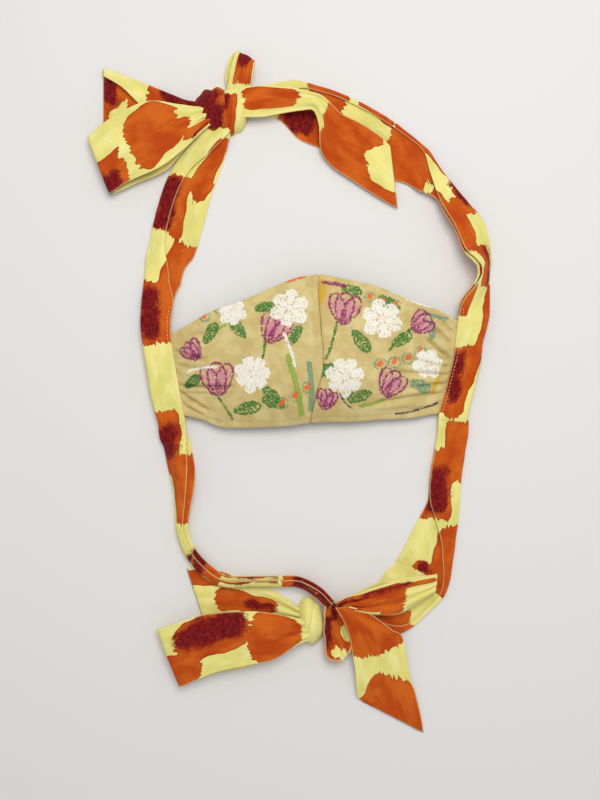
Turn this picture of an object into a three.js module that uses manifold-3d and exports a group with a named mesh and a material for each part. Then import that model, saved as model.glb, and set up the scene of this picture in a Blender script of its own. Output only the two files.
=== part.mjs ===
// Cloth face mask laid flat, convex side up, with its two tie strips tied in an upper and a lower bow.
// Millimetres, +Z up, the surface that it lies on at z = 0. Left and right are those of a view from above.
import * as THREE from "three";
import { mergeVertices } from "three/addons/utils/BufferGeometryUtils.js";
import Module from "manifold-3d";

const wasm = await Module();
wasm.setup();

// Named sizes. Every length in the tables below is a share of one of them.
const MASK_HALF_WIDTH = 105.5; // from the middle of the mask to a strip's inner edge
const MASK_HALF_HEIGHT = 57; // half the height of the mask at its centre seam
const MASK_RISE = 30; // height of the dome at the centre seam
const CROWN_REACH = 175; // from the mask's top edge to the far edge of the upper bow
const NECK_REACH = 242; // from the mask's bottom edge to the end of the lower bow
const FOLDED_WIDTH = 24; // a tie strip folded in half
const CLOTH = 1.2; // one doubled layer of cloth
const GAP = 0.3; // clearance between layers that touch
const PRESS = 0.1; // how far the undersides are pressed flat on the surface
const SEAT = 6; // depth of the mask's side edge inside the folded strip
const KNOT_HEIGHT = 15;
const CROWN_KNOT_WIDTH = 36; // a knot's size along x
const CROWN_KNOT_LENGTH = 32; // and along y
const NECK_KNOT_WIDTH = 39;
const NECK_KNOT_LENGTH = 46;
const CROWN_LOOP = 105; // from the upper knot's middle to the end of its loops
const CROWN_STUB = 46;
const CROWN_TAIL = 152;
const NECK_LOOP = 127;
const NECK_BACK_TAIL = 104;
const NECK_SIDE_LOOP = 89;
const NECK_TAIL = 100;

const STRIP_WIDTH = 2 * FOLDED_WIDTH;
const RAD = Math.PI / 180;

// Where the two knots are, as shares: across of MASK_HALF_WIDTH, up as in the strip tables.
const CROWN_KNOT = { across: -0.66, up: 1.73 };
const NECK_KNOT = { across: 0.125, up: -1.65 };

// The strips, from the upper knot to the lower one. One row per section, with these columns:
// across: the folded edge's place, share of MASK_HALF_WIDTH
// up: the same, share of MASK_HALF_HEIGHT inside the mask's height, and beyond it
//   1 + share of CROWN_REACH, or -1 - share of NECK_REACH
// lift: share of MASK_RISE
// face: degrees from +X to the direction from the folded edge to the free edges
// low, high: degrees that the lower and the upper leaf stand up from flat at the fold
// curl: degrees that both bend over by their free edges
// leaf, over: widths of the lower and the upper leaf, shares of FOLDED_WIDTH
const LEFT_STRIP = [
  [-0.72, 1.68, 0.12, -8, 0, 4, 0, 0.72, 0.72],
  [-0.78, 1.65, 0.1, -5, 0, 4, 0, 0.8, 0.8],
  [-0.91, 1.57, 0.04, -6, 0, 4, 0, 1.21, 0.79],
  [-1.01, 1.5, 0, -14, 0, 4, 0, 1.44, 0.56],
  [-1.09, 1.4, 0, -12, 0, 4, 0, 1.53, 0.47],
  [-1.15, 1.28, 0, -17, 0, 4, 0, 1.56, 0.44],
  [-1.2, 1.15, 0, -18, 0, 4, 0, 1.5, 0.5],
  [-1.23, 1.04, 0.03, -16, 0, 4, 0, 1.22, 0.78],
  [-1.25, 0.71, 0.08, -8, 0, 3, 0, 1.0, 1],
  [-1.26, 0.34, 0.12, -2, 0, 1, 0, 0.95, 0.95],
  [-1.24, 0, 0.13, 7, 0, 0, 0, 0.92, 0.92],
  [-1.21, -0.36, 0.13, 10, 0, 0, 0, 0.92, 0.92],
  [-1.18, -0.68, 0.12, 10, 0, 0, 0, 0.92, 0.92],
  [-1.13, -1.01, 0.08, 9, 4, 6, 0, 0.86, 0.86],
  [-1.09, -1.08, 0.04, 4, 24, 50, 50, 0.86, 0.86],
  [-1.06, -1.15, 0, 2, 34, 66, 60, 0.86, 0.86],
  [-1.02, -1.22, 0, 4, 56, 82, 70, 0.72, 0.72],
  [-1, -1.28, 0, 8, 74, 96, 90, 0.56, 0.56],
  [-0.99, -1.34, 0, 18, 80, 104, 100, 0.44, 0.44],
  [-0.96, -1.39, 0, 34, 84, 106, 110, 0.42, 0.42],
  [-0.9, -1.44, 0.01, 48, 80, 106, 110, 0.44, 0.44],
  [-0.79, -1.49, 0.03, 60, 76, 104, 110, 0.44, 0.44],
  [-0.65, -1.52, 0.07, 74, 78, 104, 110, 0.38, 0.38],
  [-0.46, -1.52, 0.1, 86, 78, 102, 105, 0.36, 0.36],
  [-0.24, -1.52, 0.12, 92, 72, 96, 100, 0.36, 0.36],
  [-0.11, -1.52, 0.17, 74, 68, 92, 95, 0.34, 0.34],
  [0.02, -1.55, 0.24, 58, 62, 84, 90, 0.34, 0.34],
  [0.12, -1.59, 0.26, 52, 60, 80, 80, 0.3, 0.3],
];
const RIGHT_STRIP = [
  [-0.6, 1.8, 0.16, -73, 0, 4, 0, 0.6, 0.6],
  [-0.52, 1.83, 0.14, -76, 0, 4, 0, 0.7, 0.7],
  [-0.38, 1.84, 0.06, -84, 0, 4, 0, 0.95, 0.95],
  [-0.24, 1.86, 0, -90, 0, 4, 0, 1.24, 0.76],
  [-0.1, 1.86, 0, -93, 0, 4, 0, 1.78, 0.22],
  [0.09, 1.83, 0, -104, 0, 4, 0, 1.86, 0.14],
  [0.27, 1.79, 0, -112, 0, 4, 0, 1.86, 0.14],
  [0.49, 1.72, 0, -116, 0, 4, 0, 1.86, 0.14],
  [0.66, 1.65, 0, -118, 0, 4, 0, 1.72, 0.12],
  [0.82, 1.57, 0.03, -119, 0, 5, 0, 1.32, 0.12],
  [0.9, 1.5, 0.08, -121, 2, 8, 0, 1.06, 0.36],
  [1.01, 1.41, 0.16, -132, 12, 18, 10, 0.72, 0.66],
  [1.13, 1.32, 0.2, -149, 22, 26, 10, 0.88, 0.86],
  [1.24, 1.24, 0.2, -158, 20, 24, 10, 1.0, 1],
  [1.29, 1.14, 0.2, -164, 30, 35, 15, 1.0, 1],
  [1.3, 1.07, 0.16, -168, 56, 62, 20, 0.9, 0.9],
  [1.29, 1, 0.14, -180, 70, 76, 30, 0.72, 0.72],
  [1.29, 0.82, 0.14, -186, 58, 62, 30, 0.8, 0.8],
  [1.29, 0.62, 0.16, -182, 25, 29, 10, 1.0, 1],
  [1.28, 0.38, 0.15, -184, 8, 9, 0, 0.98, 0.98],
  [1.24, 0.07, 0.14, -187, 0, 0, 0, 0.86, 0.86],
  [1.23, -0.14, 0.14, -184, 0, 0, 0, 0.88, 0.88],
  [1.2, -0.38, 0.14, -182, 0, 0, 0, 0.9, 0.9],
  [1.17, -0.62, 0.13, -184, 0, 0, 0, 0.9, 0.9],
  [1.14, -0.86, 0.1, -180, 0, 0, 0, 0.94, 0.94],
  [1.14, -1.02, 0.05, -180, 0, 3, 0, 0.98, 0.98],
  [1.12, -1.09, 0, -177, 0, 4, 0, 1.0, 1],
  [1.09, -1.18, 0, -183, 0, 4, 0, 1.0, 1],
  [1.08, -1.25, 0, -180, 0, 4, 0, 1.03, 0.97],
  [1.07, -1.31, 0, -182, 0, 4, 0, 1.24, 0.76],
  [1.05, -1.37, 0, -180, 0, 4, 0, 1.5, 0.5],
  [1.03, -1.43, 0, -184, 0, 4, 0, 1.66, 0.34],
  [0.98, -1.54, 0, -208, 0, 4, 0, 1.85, 0.15],
  [0.85, -1.61, 0, -226, 0, 4, 0, 1.9, 0.12],
  [0.67, -1.67, 0.02, -244, 0, 4, 0, 1.8, 0.2],
  [0.46, -1.68, 0.08, -249, 0, 4, 0, 1.4, 0.6],
  [0.26, -1.67, 0.16, -261, 0, 4, 0, 0.9, 0.9],
  [0.15, -1.67, 0.2, -268, 0, 4, 0, 0.6, 0.6],
];

// The bows' bands, from their knot outwards. One row per section, with these columns:
// out, off: the middle's place along and to the left of the band's axis, share of the band's reach
// high: share of KNOT_HEIGHT
// turn: degrees that the section turns from square to the axis
// rise: degrees that its left end stands above its right end
// wide: share of STRIP_WIDTH
const CROWN_LOOP_FRONT = [
  [0, 0, 0.74, -11, 0, 0.3],
  [0.15, 0, 0.78, -11, 0, 0.35],
  [0.33, 0, 0.9, -15, 0, 0.72],
  [0.54, -0.03, 0.92, -11, 1, 1.08],
  [0.81, -0.03, 0.82, -9, 0, 1.06],
  [0.97, 0, 0.7, -3, 0, 1.0],
  [1.0, 0, 0.58, -3, 0, 0.99],
  [0.98, 0.01, 0.45, -3, 0, 0.98],
  [0.79, 0, 0.38, -7, 0, 1.02],
  [0.53, 0, 0.4, -7, 0, 1.02],
  [0.32, 0.01, 0.48, -13, 0, 0.58],
  [0.15, 0.01, 0.56, -8, 0, 0.28],
  [0, 0.01, 0.54, -8, 0, 0.25],
];
// The upper bow's back loop stays folded along its top edge, so it has a strip's columns. Its across and
// up are shares of CROWN_LOOP from the knot's middle.
const CROWN_LOOP_BACK = [
  [-0.1, 0.03, 0.2, -104, 0, 4, 0, 0.3, 0.3],
  [-0.19, 0.05, 0.17, -104, 0, 4, 0, 0.32, 0.32],
  [-0.3, 0.08, 0.12, -106, 0, 5, 0, 0.6, 0.6],
  [-0.44, 0.14, 0.08, -108, 0, 7, 0, 1.05, 0.95],
  [-0.59, 0.2, 0.06, -104, 0, 9, 0, 1.32, 0.68],
  [-0.74, 0.26, 0.04, -97, 0, 12, 0, 1.6, 0.4],
  [-0.89, 0.31, 0.03, -90, 0, 14, 0, 1.76, 0.24],
];
const CROWN_STUB_BAND = [
  [0, -0.05, 0.66, 22, 0, 0.3],
  [0.41, -0.11, 0.62, 22, 0, 0.36],
  [0.7, -0.06, 0.62, 22, 0, 0.37],
  [0.93, -0.02, 0.5, -9, 0, 0.35],
  [0.99, -0.02, 0.38, -9, 0, 0.35],
  [0.9, 0.03, 0.26, 4, 0, 0.38],
  [0.63, 0.02, 0.26, 17, 0, 0.36],
  [0.41, -0.08, 0.36, 22, 0, 0.32],
  [0, -0.08, 0.4, 22, 0, 0.25],
];
const CROWN_TAIL_BAND = [
  [0, 0.03, 0.66, 36, 0, 0.4],
  [0.08, 0.08, 0.68, 36, 0, 0.48],
  [0.16, 0.13, 0.66, 32, 0, 0.5],
  [0.26, 0.19, 0.68, 24, -3, 0.42],
  [0.35, 0.23, 0.78, 8, -6, 0.33],
  [0.41, 0.25, 0.8, 2, -5, 0.28],
  [0.47, 0.22, 0.68, 0, -1, 0.4],
  [0.54, 0.16, 0.5, -4, 5, 0.66],
  [0.63, 0.14, 0.42, -4, 5, 0.82],
  [0.74, 0.13, 0.36, 8, 4, 0.86],
  [0.84, 0.12, 0.32, 22, 3, 0.93],
  [0.93, 0.11, 0.28, 35, 2, 1.0],
];
const NECK_LOOP_FRONT = [
  [0, 0, 0.74, -6, 0, 0.3],
  [0.18, -0.01, 0.78, -6, 0, 0.39],
  [0.34, -0.01, 0.9, -11, 0, 0.73],
  [0.5, -0.03, 0.9, -9, 1, 0.86],
  [0.74, -0.04, 0.8, -2, 0, 0.95],
  [0.97, 0, 0.66, 10, 0, 0.98],
  [1.0, 0, 0.52, 10, 0, 0.98],
  [0.97, 0, 0.38, 10, 0, 0.98],
  [0.74, -0.02, 0.34, 0, 0, 0.94],
  [0.52, -0.01, 0.38, -5, 0, 0.87],
  [0.34, 0, 0.46, -6, 0, 0.6],
  [0.17, 0, 0.54, -5, 0, 0.29],
  [0, 0, 0.54, -5, 0, 0.25],
];
const NECK_TAIL_BACK = [
  [0.02, -0.02, 0.36, 23, 0, 0.2],
  [0.2, -0.02, 0.3, 23, 0, 0.24],
  [0.34, -0.02, 0.14, 8, 0, 0.44],
  [0.5, -0.02, 0.06, 3, 0, 0.67],
  [0.71, -0.02, 0.06, 6, 0, 0.8],
  [0.86, -0.01, 0.06, 14, 0, 0.95],
  [1.02, 0.01, 0.06, 30, 0, 1.0],
];
const NECK_LOOP_SIDE = [
  [0, 0.06, 0.7, 3, 0, 0.2],
  [0.19, 0.12, 0.78, 3, 0, 0.23],
  [0.34, 0.08, 0.86, -9, 0, 0.34],
  [0.48, 0.05, 0.86, -22, 0, 0.46],
  [0.66, 0.02, 0.78, -24, 0, 0.55],
  [0.95, 0, 0.66, -28, 0, 0.32],
  [0.99, 0, 0.54, -28, 0, 0.3],
  [0.96, -0.01, 0.42, -28, 0, 0.32],
  [0.68, 0, 0.42, -22, 0, 0.55],
  [0.48, 0.05, 0.44, -17, 0, 0.52],
  [0.33, 0.08, 0.5, -13, 0, 0.38],
  [0.19, 0.1, 0.56, -5, 0, 0.22],
  [0, 0.06, 0.54, -5, 0, 0.2],
];
const NECK_TAIL_BAND = [
  [-0.06, 0.17, 0.96, -35, -4, 0.22],
  [0.06, 0.2, 0.92, -26, -6, 0.42],
  [0.24, 0.2, 0.74, -30, -5, 0.68],
  [0.4, 0.15, 0.5, -12, -4, 0.9],
  [0.62, 0.01, 0.22, -22, -2, 0.92],
  [0.76, -0.05, 0.1, -46, 0, 0.94],
  [0.88, -0.1, 0.06, -69, 0, 1.06],
];

// The mask. One row per station across a panel, from the strip (0) to the centre seam (1), with its top
// and bottom edge as shares of MASK_HALF_HEIGHT and the part of the dome's rise that it has.
const LEFT_PANEL = [
  [0, 0.19, -0.97, 0],
  [0.07, 0.26, -0.98, 0.1],
  [0.14, 0.34, -1, 0.22],
  [0.28, 0.5, -1.07, 0.43],
  [0.42, 0.6, -1.07, 0.6],
  [0.56, 0.71, -1.07, 0.74],
  [0.7, 0.83, -1.06, 0.85],
  [0.84, 0.94, -1.04, 0.93],
  [0.95, 0.98, -1.01, 0.98],
  [1, 0.99, -1.0, 1],
];
const RIGHT_PANEL = [
  [0, 0.34, -0.88, 0],
  [0.07, 0.42, -0.9, 0.1],
  [0.14, 0.5, -0.92, 0.22],
  [0.28, 0.61, -0.95, 0.43],
  [0.42, 0.7, -0.96, 0.6],
  [0.56, 0.82, -0.98, 0.74],
  [0.7, 0.89, -0.99, 0.85],
  [0.84, 0.94, -0.99, 0.93],
  [0.95, 0.98, -1.0, 0.98],
  [1, 0.99, -1.0, 1],
];
// The centre seam, from the chin up: up is a share of MASK_HALF_HEIGHT, across of MASK_HALF_WIDTH and
// rise of MASK_RISE.
const SEAM = [
  [-1, -0.02, 0.34],
  [-0.9, -0.01, 0.5],
  [-0.8, 0, 0.64],
  [-0.66, 0.02, 0.8],
  [-0.52, 0.04, 0.91],
  [-0.38, 0.06, 0.98],
  [-0.27, 0.07, 1],
  [0, 0.07, 1],
  [0.14, 0.06, 0.98],
  [0.41, 0.05, 0.9],
  [0.69, 0.04, 0.74],
  [0.99, 0.04, 0.48],
];

const lerp = (a, b, t) => a + (b - a) * t;
const clamp = (x, low, high) => Math.min(high, Math.max(low, x));

// A row of a table at a value of its first column, between the two rows around it.
function rowAt(table, value) {
  let i = 1;
  while (i < table.length - 1 && table[i][0] < value) i++;
  const [a, b] = [table[i - 1], table[i]];
  const t = Math.min(1, Math.max(0, (value - a[0]) / (b[0] - a[0])));
  return a.map((x, k) => lerp(x, b[k], t));
}

const acrossMm = (share) => share * MASK_HALF_WIDTH;
function upMm(share) {
  if (share > 1) return MASK_HALF_HEIGHT + (share - 1) * CROWN_REACH;
  if (share < -1) return -MASK_HALF_HEIGHT + (share + 1) * NECK_REACH;
  return share * MASK_HALF_HEIGHT;
}

function solidOf(points, faces) {
  const vertProperties = Float32Array.from(points);
  const triVerts = Uint32Array.from(faces);
  return new wasm.Manifold(new wasm.Mesh({ numProp: 3, vertProperties, triVerts }));
}

// The same triangles, each facing the other way.
const turned = (faces) => Array.from(faces, (_, i) => faces[i - (i % 3) + [0, 2, 1][i % 3]]);

// A closed solid of the given thickness around a grid of points: rows along the cloth, columns across it.
function thick(grid, thickness) {
  const rows = grid.length;
  const cols = grid[0].length;
  const half = thickness / 2;
  const at = (i, j) => grid[Math.min(rows - 1, Math.max(0, i))][Math.min(cols - 1, Math.max(0, j))];
  const points = [];
  for (const side of [1, -1])
    for (let i = 0; i < rows; i++)
      for (let j = 0; j < cols; j++) {
        const along = at(i + 1, j).clone().sub(at(i - 1, j)).normalize();
        const across = at(i, j + 1).clone().sub(at(i, j - 1)).normalize();
        const normal = across.cross(along).normalize().multiplyScalar(side * half);
        points.push(...at(i, j).clone().add(normal).toArray());
      }
  const id = (side, i, j) => (side * rows + i) * cols + j;
  const faces = [];
  const quad = (a, b, c, d) => faces.push(a, b, c, a, c, d);
  for (let i = 0; i < rows - 1; i++)
    for (let j = 0; j < cols - 1; j++) {
      quad(id(0, i, j), id(0, i, j + 1), id(0, i + 1, j + 1), id(0, i + 1, j));
      quad(id(1, i, j), id(1, i + 1, j), id(1, i + 1, j + 1), id(1, i, j + 1));
    }
  for (let i = 0; i < rows - 1; i++) {
    quad(id(0, i, 0), id(0, i + 1, 0), id(1, i + 1, 0), id(1, i, 0));
    quad(id(0, i + 1, cols - 1), id(0, i, cols - 1), id(1, i, cols - 1), id(1, i + 1, cols - 1));
  }
  for (let j = 0; j < cols - 1; j++) {
    quad(id(0, 0, j + 1), id(0, 0, j), id(1, 0, j), id(1, 0, j + 1));
    quad(id(0, rows - 1, j), id(0, rows - 1, j + 1), id(1, rows - 1, j + 1), id(1, rows - 1, j));
  }
  const made = solidOf(points, faces);
  return made.volume() > 0 ? made : solidOf(points, turned(faces));
}

const ARM_STEPS = 2; // straight runs in which a leaf bends over
const FOLD_TURNS = [-90, -135, -180, -225, -270];
const CLOSED_AT = 1; // degrees between the leaves, from which they begin to open
const OPENS_OVER = 2; // degrees

// The section of a folded strip: points [from the fold, up], from the lower free edge around the fold to
// the upper one. Where the leaves lie closed, the fold is wide enough for the mask's edge between them.
function stripSection(row, grow) {
  const [, , lift, , low, high, curl, leaf, over] = row;
  const seated = clamp(1 - (high - low - CLOSED_AT) / OPENS_OVER, 0, 1);
  const r = (CLOTH + GAP + seated * (CLOTH + GAP)) / 2;
  const middle = ((low + high) / 2) * RAD;
  const centre = [r * Math.cos(middle), r * Math.sin(middle)];
  const path = [];
  const arm = (start, length, from) => {
    const out = [];
    let [d, z] = start;
    for (let k = 0; k < ARM_STEPS; k++) {
      const angle = (from - (curl * (k + 0.5)) / ARM_STEPS) * RAD;
      d += (length / ARM_STEPS) * Math.cos(angle);
      z += (length / ARM_STEPS) * Math.sin(angle);
      out.push([d, z]);
    }
    return out;
  };
  const turn = FOLD_TURNS.map((a) => {
    const angle = middle + a * RAD;
    return [centre[0] + r * Math.cos(angle), centre[1] + r * Math.sin(angle)];
  });
  const lower = leaf * FOLDED_WIDTH - r + grow;
  const upper = over * FOLDED_WIDTH - r + grow;
  path.push(...arm(turn[0], lower, low).reverse(), ...turn, ...arm(turn.at(-1), upper, high));
  const lowest = Math.min(...path.map((p) => p[1]));
  const base = lift * MASK_RISE + CLOTH / 2 - lowest;
  return path.map(([d, z]) => [d, z + base]);
}

// The cubic from p to q with the given slopes at its ends.
function hermite(p, q, slopeP, slopeQ, t) {
  const s = 1 - t;
  return s * s * (1 + 2 * t) * p + t * t * (3 - 2 * t) * q + t * s * s * slopeP - t * t * s * slopeQ;
}

// Rows between the rows of a table, by a smooth curve through each column.
function smooth(table, steps) {
  const out = [];
  const last = table.length - 1;
  for (let i = 0; i < last; i++)
    for (let k = 0; k < steps; k++) {
      const t = k / steps;
      const [a, b, c, d] = [i - 1, i, i + 1, i + 2].map((n) => table[Math.min(last, Math.max(0, n))]);
      const slope = (before, after) => (after - before) / 2;
      out.push(b.map((x, n) => hermite(x, c[n], slope(a[n], c[n]), slope(x, d[n]), t)));
    }
  out.push(table[last]);
  return out;
}

const ROWS_BETWEEN = 2; // sections made for each row of a table

// Where a row of a strip's table puts its folded edge, in plan.
const byMask = ([across, up]) => [acrossMm(across), upMm(up)];
function byKnot(knot, reach) {
  const middle = knotMiddle(knot);
  return ([across, up]) => [middle.x + across * reach, middle.y + up * reach];
}

function stripPoint(row, d, z, place = byMask) {
  const face = row[3] * RAD;
  const [x, y] = place(row);
  return new THREE.Vector3(x + d * Math.cos(face), y + d * Math.sin(face), z);
}

function strip(table, grow = 0, place = byMask) {
  const section = (row) => stripSection(row, grow).map(([d, z]) => stripPoint(row, d, z, place));
  const grid = smooth(table, ROWS_BETWEEN).map(section);
  return thick(grid, CLOTH + 2 * grow);
}

function knotMiddle(knot) {
  return new THREE.Vector3(acrossMm(knot.across), upMm(knot.up), 0);
}

// A bow's band of one doubled layer: its axis leaves the knot at the given angle.
const BAND_COLUMNS = [-1, -0.5, 0, 0.5, 1]; // shares of its half width
function band(knot, axisDegrees, reach, table, grow = 0) {
  const middle = knotMiddle(knot);
  const grid = smooth(table, ROWS_BETWEEN).map(([out, off, high, turn, rise, wide]) => {
    const axis = axisDegrees * RAD;
    const centre = new THREE.Vector3(
      middle.x + reach * (out * Math.cos(axis) - off * Math.sin(axis)),
      middle.y + reach * (out * Math.sin(axis) + off * Math.cos(axis)),
      high * KNOT_HEIGHT,
    );
    const heading = (axisDegrees + 90 + turn) * RAD;
    const half = (wide * STRIP_WIDTH) / 2 + grow;
    const left = new THREE.Vector3(
      Math.cos(heading) * Math.cos(rise * RAD),
      Math.sin(heading) * Math.cos(rise * RAD),
      Math.sin(rise * RAD),
    ).multiplyScalar(half);
    return BAND_COLUMNS.map((s) => centre.clone().addScaledVector(left, s));
  });
  return thick(grid, CLOTH + 2 * grow);
}

// A knot: a pressed ball with a waist across it, on the bands' levels.
const KNOT_SQUARE = 3; // 2 would be a round ball, and more is boxier
const KNOT_WAIST = { at: 0.2, deep: 0.1, wide: 0.12 }; // between its two wraps, shares of its half width
const KNOT_BULGE = 0.48; // half its height, share of KNOT_HEIGHT
function knot(place, width, length, grow = 0) {
  const sphere = new THREE.SphereGeometry(1, 18, 12).deleteAttribute("uv").deleteAttribute("normal");
  const ball = mergeVertices(sphere);
  const p = ball.attributes.position;
  const power = (x) => Math.abs(x) ** KNOT_SQUARE;
  const middle = knotMiddle(place);
  for (let i = 0; i < p.count; i++) {
    const v = new THREE.Vector3(p.getX(i), p.getZ(i), p.getY(i));
    const square = (power(v.x) + power(v.y) + power(v.z)) ** (-1 / KNOT_SQUARE);
    const waist = 1 - KNOT_WAIST.deep * Math.exp(-(((v.x - KNOT_WAIST.at) / KNOT_WAIST.wide) ** 2));
    p.setXYZ(
      i,
      middle.x + v.x * square * (width / 2 + grow),
      middle.y + v.y * square * waist * (length / 2 + grow),
      KNOT_HEIGHT * (1 - KNOT_BULGE) + v.z * square * waist * (KNOT_HEIGHT * KNOT_BULGE + grow),
    );
  }
  return solidOf(p.array, turned(ball.index.array));
}

// A panel of the mask: its side edge is seated between the leaves of its strip, and its other side ends
// at the centre seam.
const PANEL_LEVELS = 12;
const BESIDE_MASK = 1.2; // the strip's sections up to this share above and below hold the panel
const GATHER_SHARE = 1 / 3; // of a panel's width, over which it spreads from its gathered side
function panel(table, stripTable, side) {
  const stations = [-1, ...table.map((row) => row[0])];
  const stripRows = smooth(stripTable, ROWS_BETWEEN)
    .map((row) => [row[1], ...row])
    .filter((row) => Math.abs(row[0]) < BESIDE_MASK)
    .sort((a, b) => a[0] - b[0]);
  const grid = [];
  for (let k = 0; k <= PANEL_LEVELS; k++) {
    const v = k / PANEL_LEVELS;
    const [, top, bottom] = table[0];
    const edgeRow = rowAt(stripRows, lerp(bottom, top, v)).slice(1);
    const section = stripSection(edgeRow, 0);
    const between = (k) => [0, 1].map((n) => (section[k][n] + section[section.length - 1 - k][n]) / 2);
    const [mouth, inside] = [between(0), between(1)];
    const depth = SEAT / Math.hypot(mouth[0] - inside[0], mouth[1] - inside[1]);
    const edge = stripPoint(edgeRow, ...mouth);
    const level = mouth[1];
    const seamUp = lerp(-1, table[table.length - 1][1], v);
    const [, seamAcross, seamRise] = rowAt(SEAM, seamUp);
    grid.push(
      stations.map((u) => {
        if (u < 0) return stripPoint(edgeRow, ...mouth.map((m, n) => lerp(m, inside[n], depth)));
        const [, topAt, bottomAt, rise] = rowAt(table, u);
        const x = lerp(edge.x, acrossMm(seamAcross) + (side * GAP) / 2, u);
        const free = lerp(bottomAt, topAt, v) * MASK_HALF_HEIGHT;
        const gathered = edge.y + free - lerp(bottom, top, v) * MASK_HALF_HEIGHT;
        const y = lerp(gathered, free, Math.min(1, u / GATHER_SHARE));
        const z = lerp(level, Math.max(level, seamRise * MASK_RISE), rise);
        return new THREE.Vector3(x, y, z);
      }),
    );
  }
  return thick(grid, CLOTH);
}

// The largest body of a solid after the given ones are cut out of it, with nothing below the surface
// that it lies on.
const GROUND_WIDE = 10 * CROWN_REACH;
const GROUND_DEEP = 10 * KNOT_HEIGHT;
const belowGround = wasm.Manifold.cube([GROUND_WIDE, GROUND_WIDE, GROUND_DEEP], true).translate([
  0,
  0,
  PRESS - GROUND_DEEP / 2,
]);
function trimmed(solid, cutters = []) {
  const cut = cutters.reduce((made, cutter) => made.subtract(cutter), solid.subtract(belowGround));
  return cut.decompose().sort((a, b) => b.volume() - a.volume())[0];
}

const CROWN_BANDS = {
  upper_loop_front: [-155.9, CROWN_LOOP, CROWN_LOOP_FRONT],
  upper_tail_short: [68.2, CROWN_STUB, CROWN_STUB_BAND],
  upper_tail_long: [-28.1, CROWN_TAIL, CROWN_TAIL_BAND],
};
const NECK_BANDS = {
  lower_tail_back: [168.3, NECK_BACK_TAIL, NECK_TAIL_BACK],
  lower_loop_front: [-169, NECK_LOOP, NECK_LOOP_FRONT],
  lower_loop_side: [22.1, NECK_SIDE_LOOP, NECK_LOOP_SIDE],
  lower_tail_front: [-48.8, NECK_TAIL, NECK_TAIL_BAND],
};

const solids = {};
const grown = [];
function keep(name, solid, biggerSolid) {
  solids[name] = solid;
  if (biggerSolid) grown.push(biggerSolid);
}

for (const [name, place, width, length] of [
  ["upper_knot", CROWN_KNOT, CROWN_KNOT_WIDTH, CROWN_KNOT_LENGTH],
  ["lower_knot", NECK_KNOT, NECK_KNOT_WIDTH, NECK_KNOT_LENGTH],
])
  keep(name, trimmed(knot(place, width, length)), knot(place, width, length, GAP));
keep("strip_left", trimmed(strip(LEFT_STRIP), grown), strip(LEFT_STRIP, GAP));
keep("strip_right", trimmed(strip(RIGHT_STRIP), grown), strip(RIGHT_STRIP, GAP));
const backLoop = (grow) => strip(CROWN_LOOP_BACK, grow, byKnot(CROWN_KNOT, CROWN_LOOP));
keep("upper_loop_back", trimmed(backLoop(0), grown), backLoop(GAP));
for (const [place, bands] of [[CROWN_KNOT, CROWN_BANDS], [NECK_KNOT, NECK_BANDS]])
  for (const [name, [axis, reach, table]] of Object.entries(bands))
    keep(name, trimmed(band(place, axis, reach, table), grown), band(place, axis, reach, table, GAP));
keep("mask_panel_left", trimmed(panel(LEFT_PANEL, LEFT_STRIP, -1)));
keep("mask_panel_right", trimmed(panel(RIGHT_PANEL, RIGHT_STRIP, 1)));

const YELLOW = 0xe8e070;
const PRINT = 0xc9bc8a;
const root = new THREE.Group();
for (const [name, solid] of Object.entries(solids)) {
  const data = solid.getMesh();
  const geometry = new THREE.BufferGeometry();
  geometry.setAttribute("position", new THREE.BufferAttribute(new Float32Array(data.vertProperties), 3));
  geometry.setIndex(new THREE.BufferAttribute(new Uint32Array(data.triVerts), 1));
  const color = name.startsWith("mask") ? PRINT : YELLOW;
  const material = new THREE.MeshStandardMaterial({ color, roughness: 0.95, metalness: 0 });
  const mesh = new THREE.Mesh(geometry, material);
  mesh.name = name;
  root.add(mesh);
}
const box = new THREE.Box3().setFromObject(root);
for (const mesh of root.children)
  mesh.geometry.translate(-(box.min.x + box.max.x) / 2, -(box.min.y + box.max.y) / 2, -box.min.z);

export default root;
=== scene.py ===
# %% [markdown]
# # A cloth face mask with two tied strips
# The mask lies flat on a pale surface, its dome upwards. It is sewn from two printed cotton panels.
# A long strip, folded in half lengthwise, holds each side edge, and the two strips are tied in a bow
# above the mask and in another below it. This notebook builds the looks over the frame that the CAD
# model gives: the frame says where each piece is, and each cell below makes one piece or one finish.

# %% Load the frame
import math

import bpy
import numpy as np
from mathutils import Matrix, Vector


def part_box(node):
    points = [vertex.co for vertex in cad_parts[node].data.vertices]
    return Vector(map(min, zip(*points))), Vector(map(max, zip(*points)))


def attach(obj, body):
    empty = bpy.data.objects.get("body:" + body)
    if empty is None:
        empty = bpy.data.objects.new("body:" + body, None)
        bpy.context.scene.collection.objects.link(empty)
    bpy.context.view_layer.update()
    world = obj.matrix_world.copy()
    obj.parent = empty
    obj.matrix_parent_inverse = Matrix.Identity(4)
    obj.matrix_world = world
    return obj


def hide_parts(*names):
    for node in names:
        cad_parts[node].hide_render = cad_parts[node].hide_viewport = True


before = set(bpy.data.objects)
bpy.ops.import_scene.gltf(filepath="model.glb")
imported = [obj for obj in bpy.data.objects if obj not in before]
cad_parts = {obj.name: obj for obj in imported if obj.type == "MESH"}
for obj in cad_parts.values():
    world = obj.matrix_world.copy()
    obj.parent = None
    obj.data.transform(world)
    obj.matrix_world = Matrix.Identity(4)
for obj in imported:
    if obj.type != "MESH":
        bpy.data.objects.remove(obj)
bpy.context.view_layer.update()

# %% [markdown]
# ## Sizes
# A sewn thing is easiest to reason about in millimetres, so every size and table here is in
# millimetres and shares, and one factor turns the finished points into Blender's metres. The names
# and values are those of the CAD model, because the cloth has to lie where its solids are.

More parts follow.
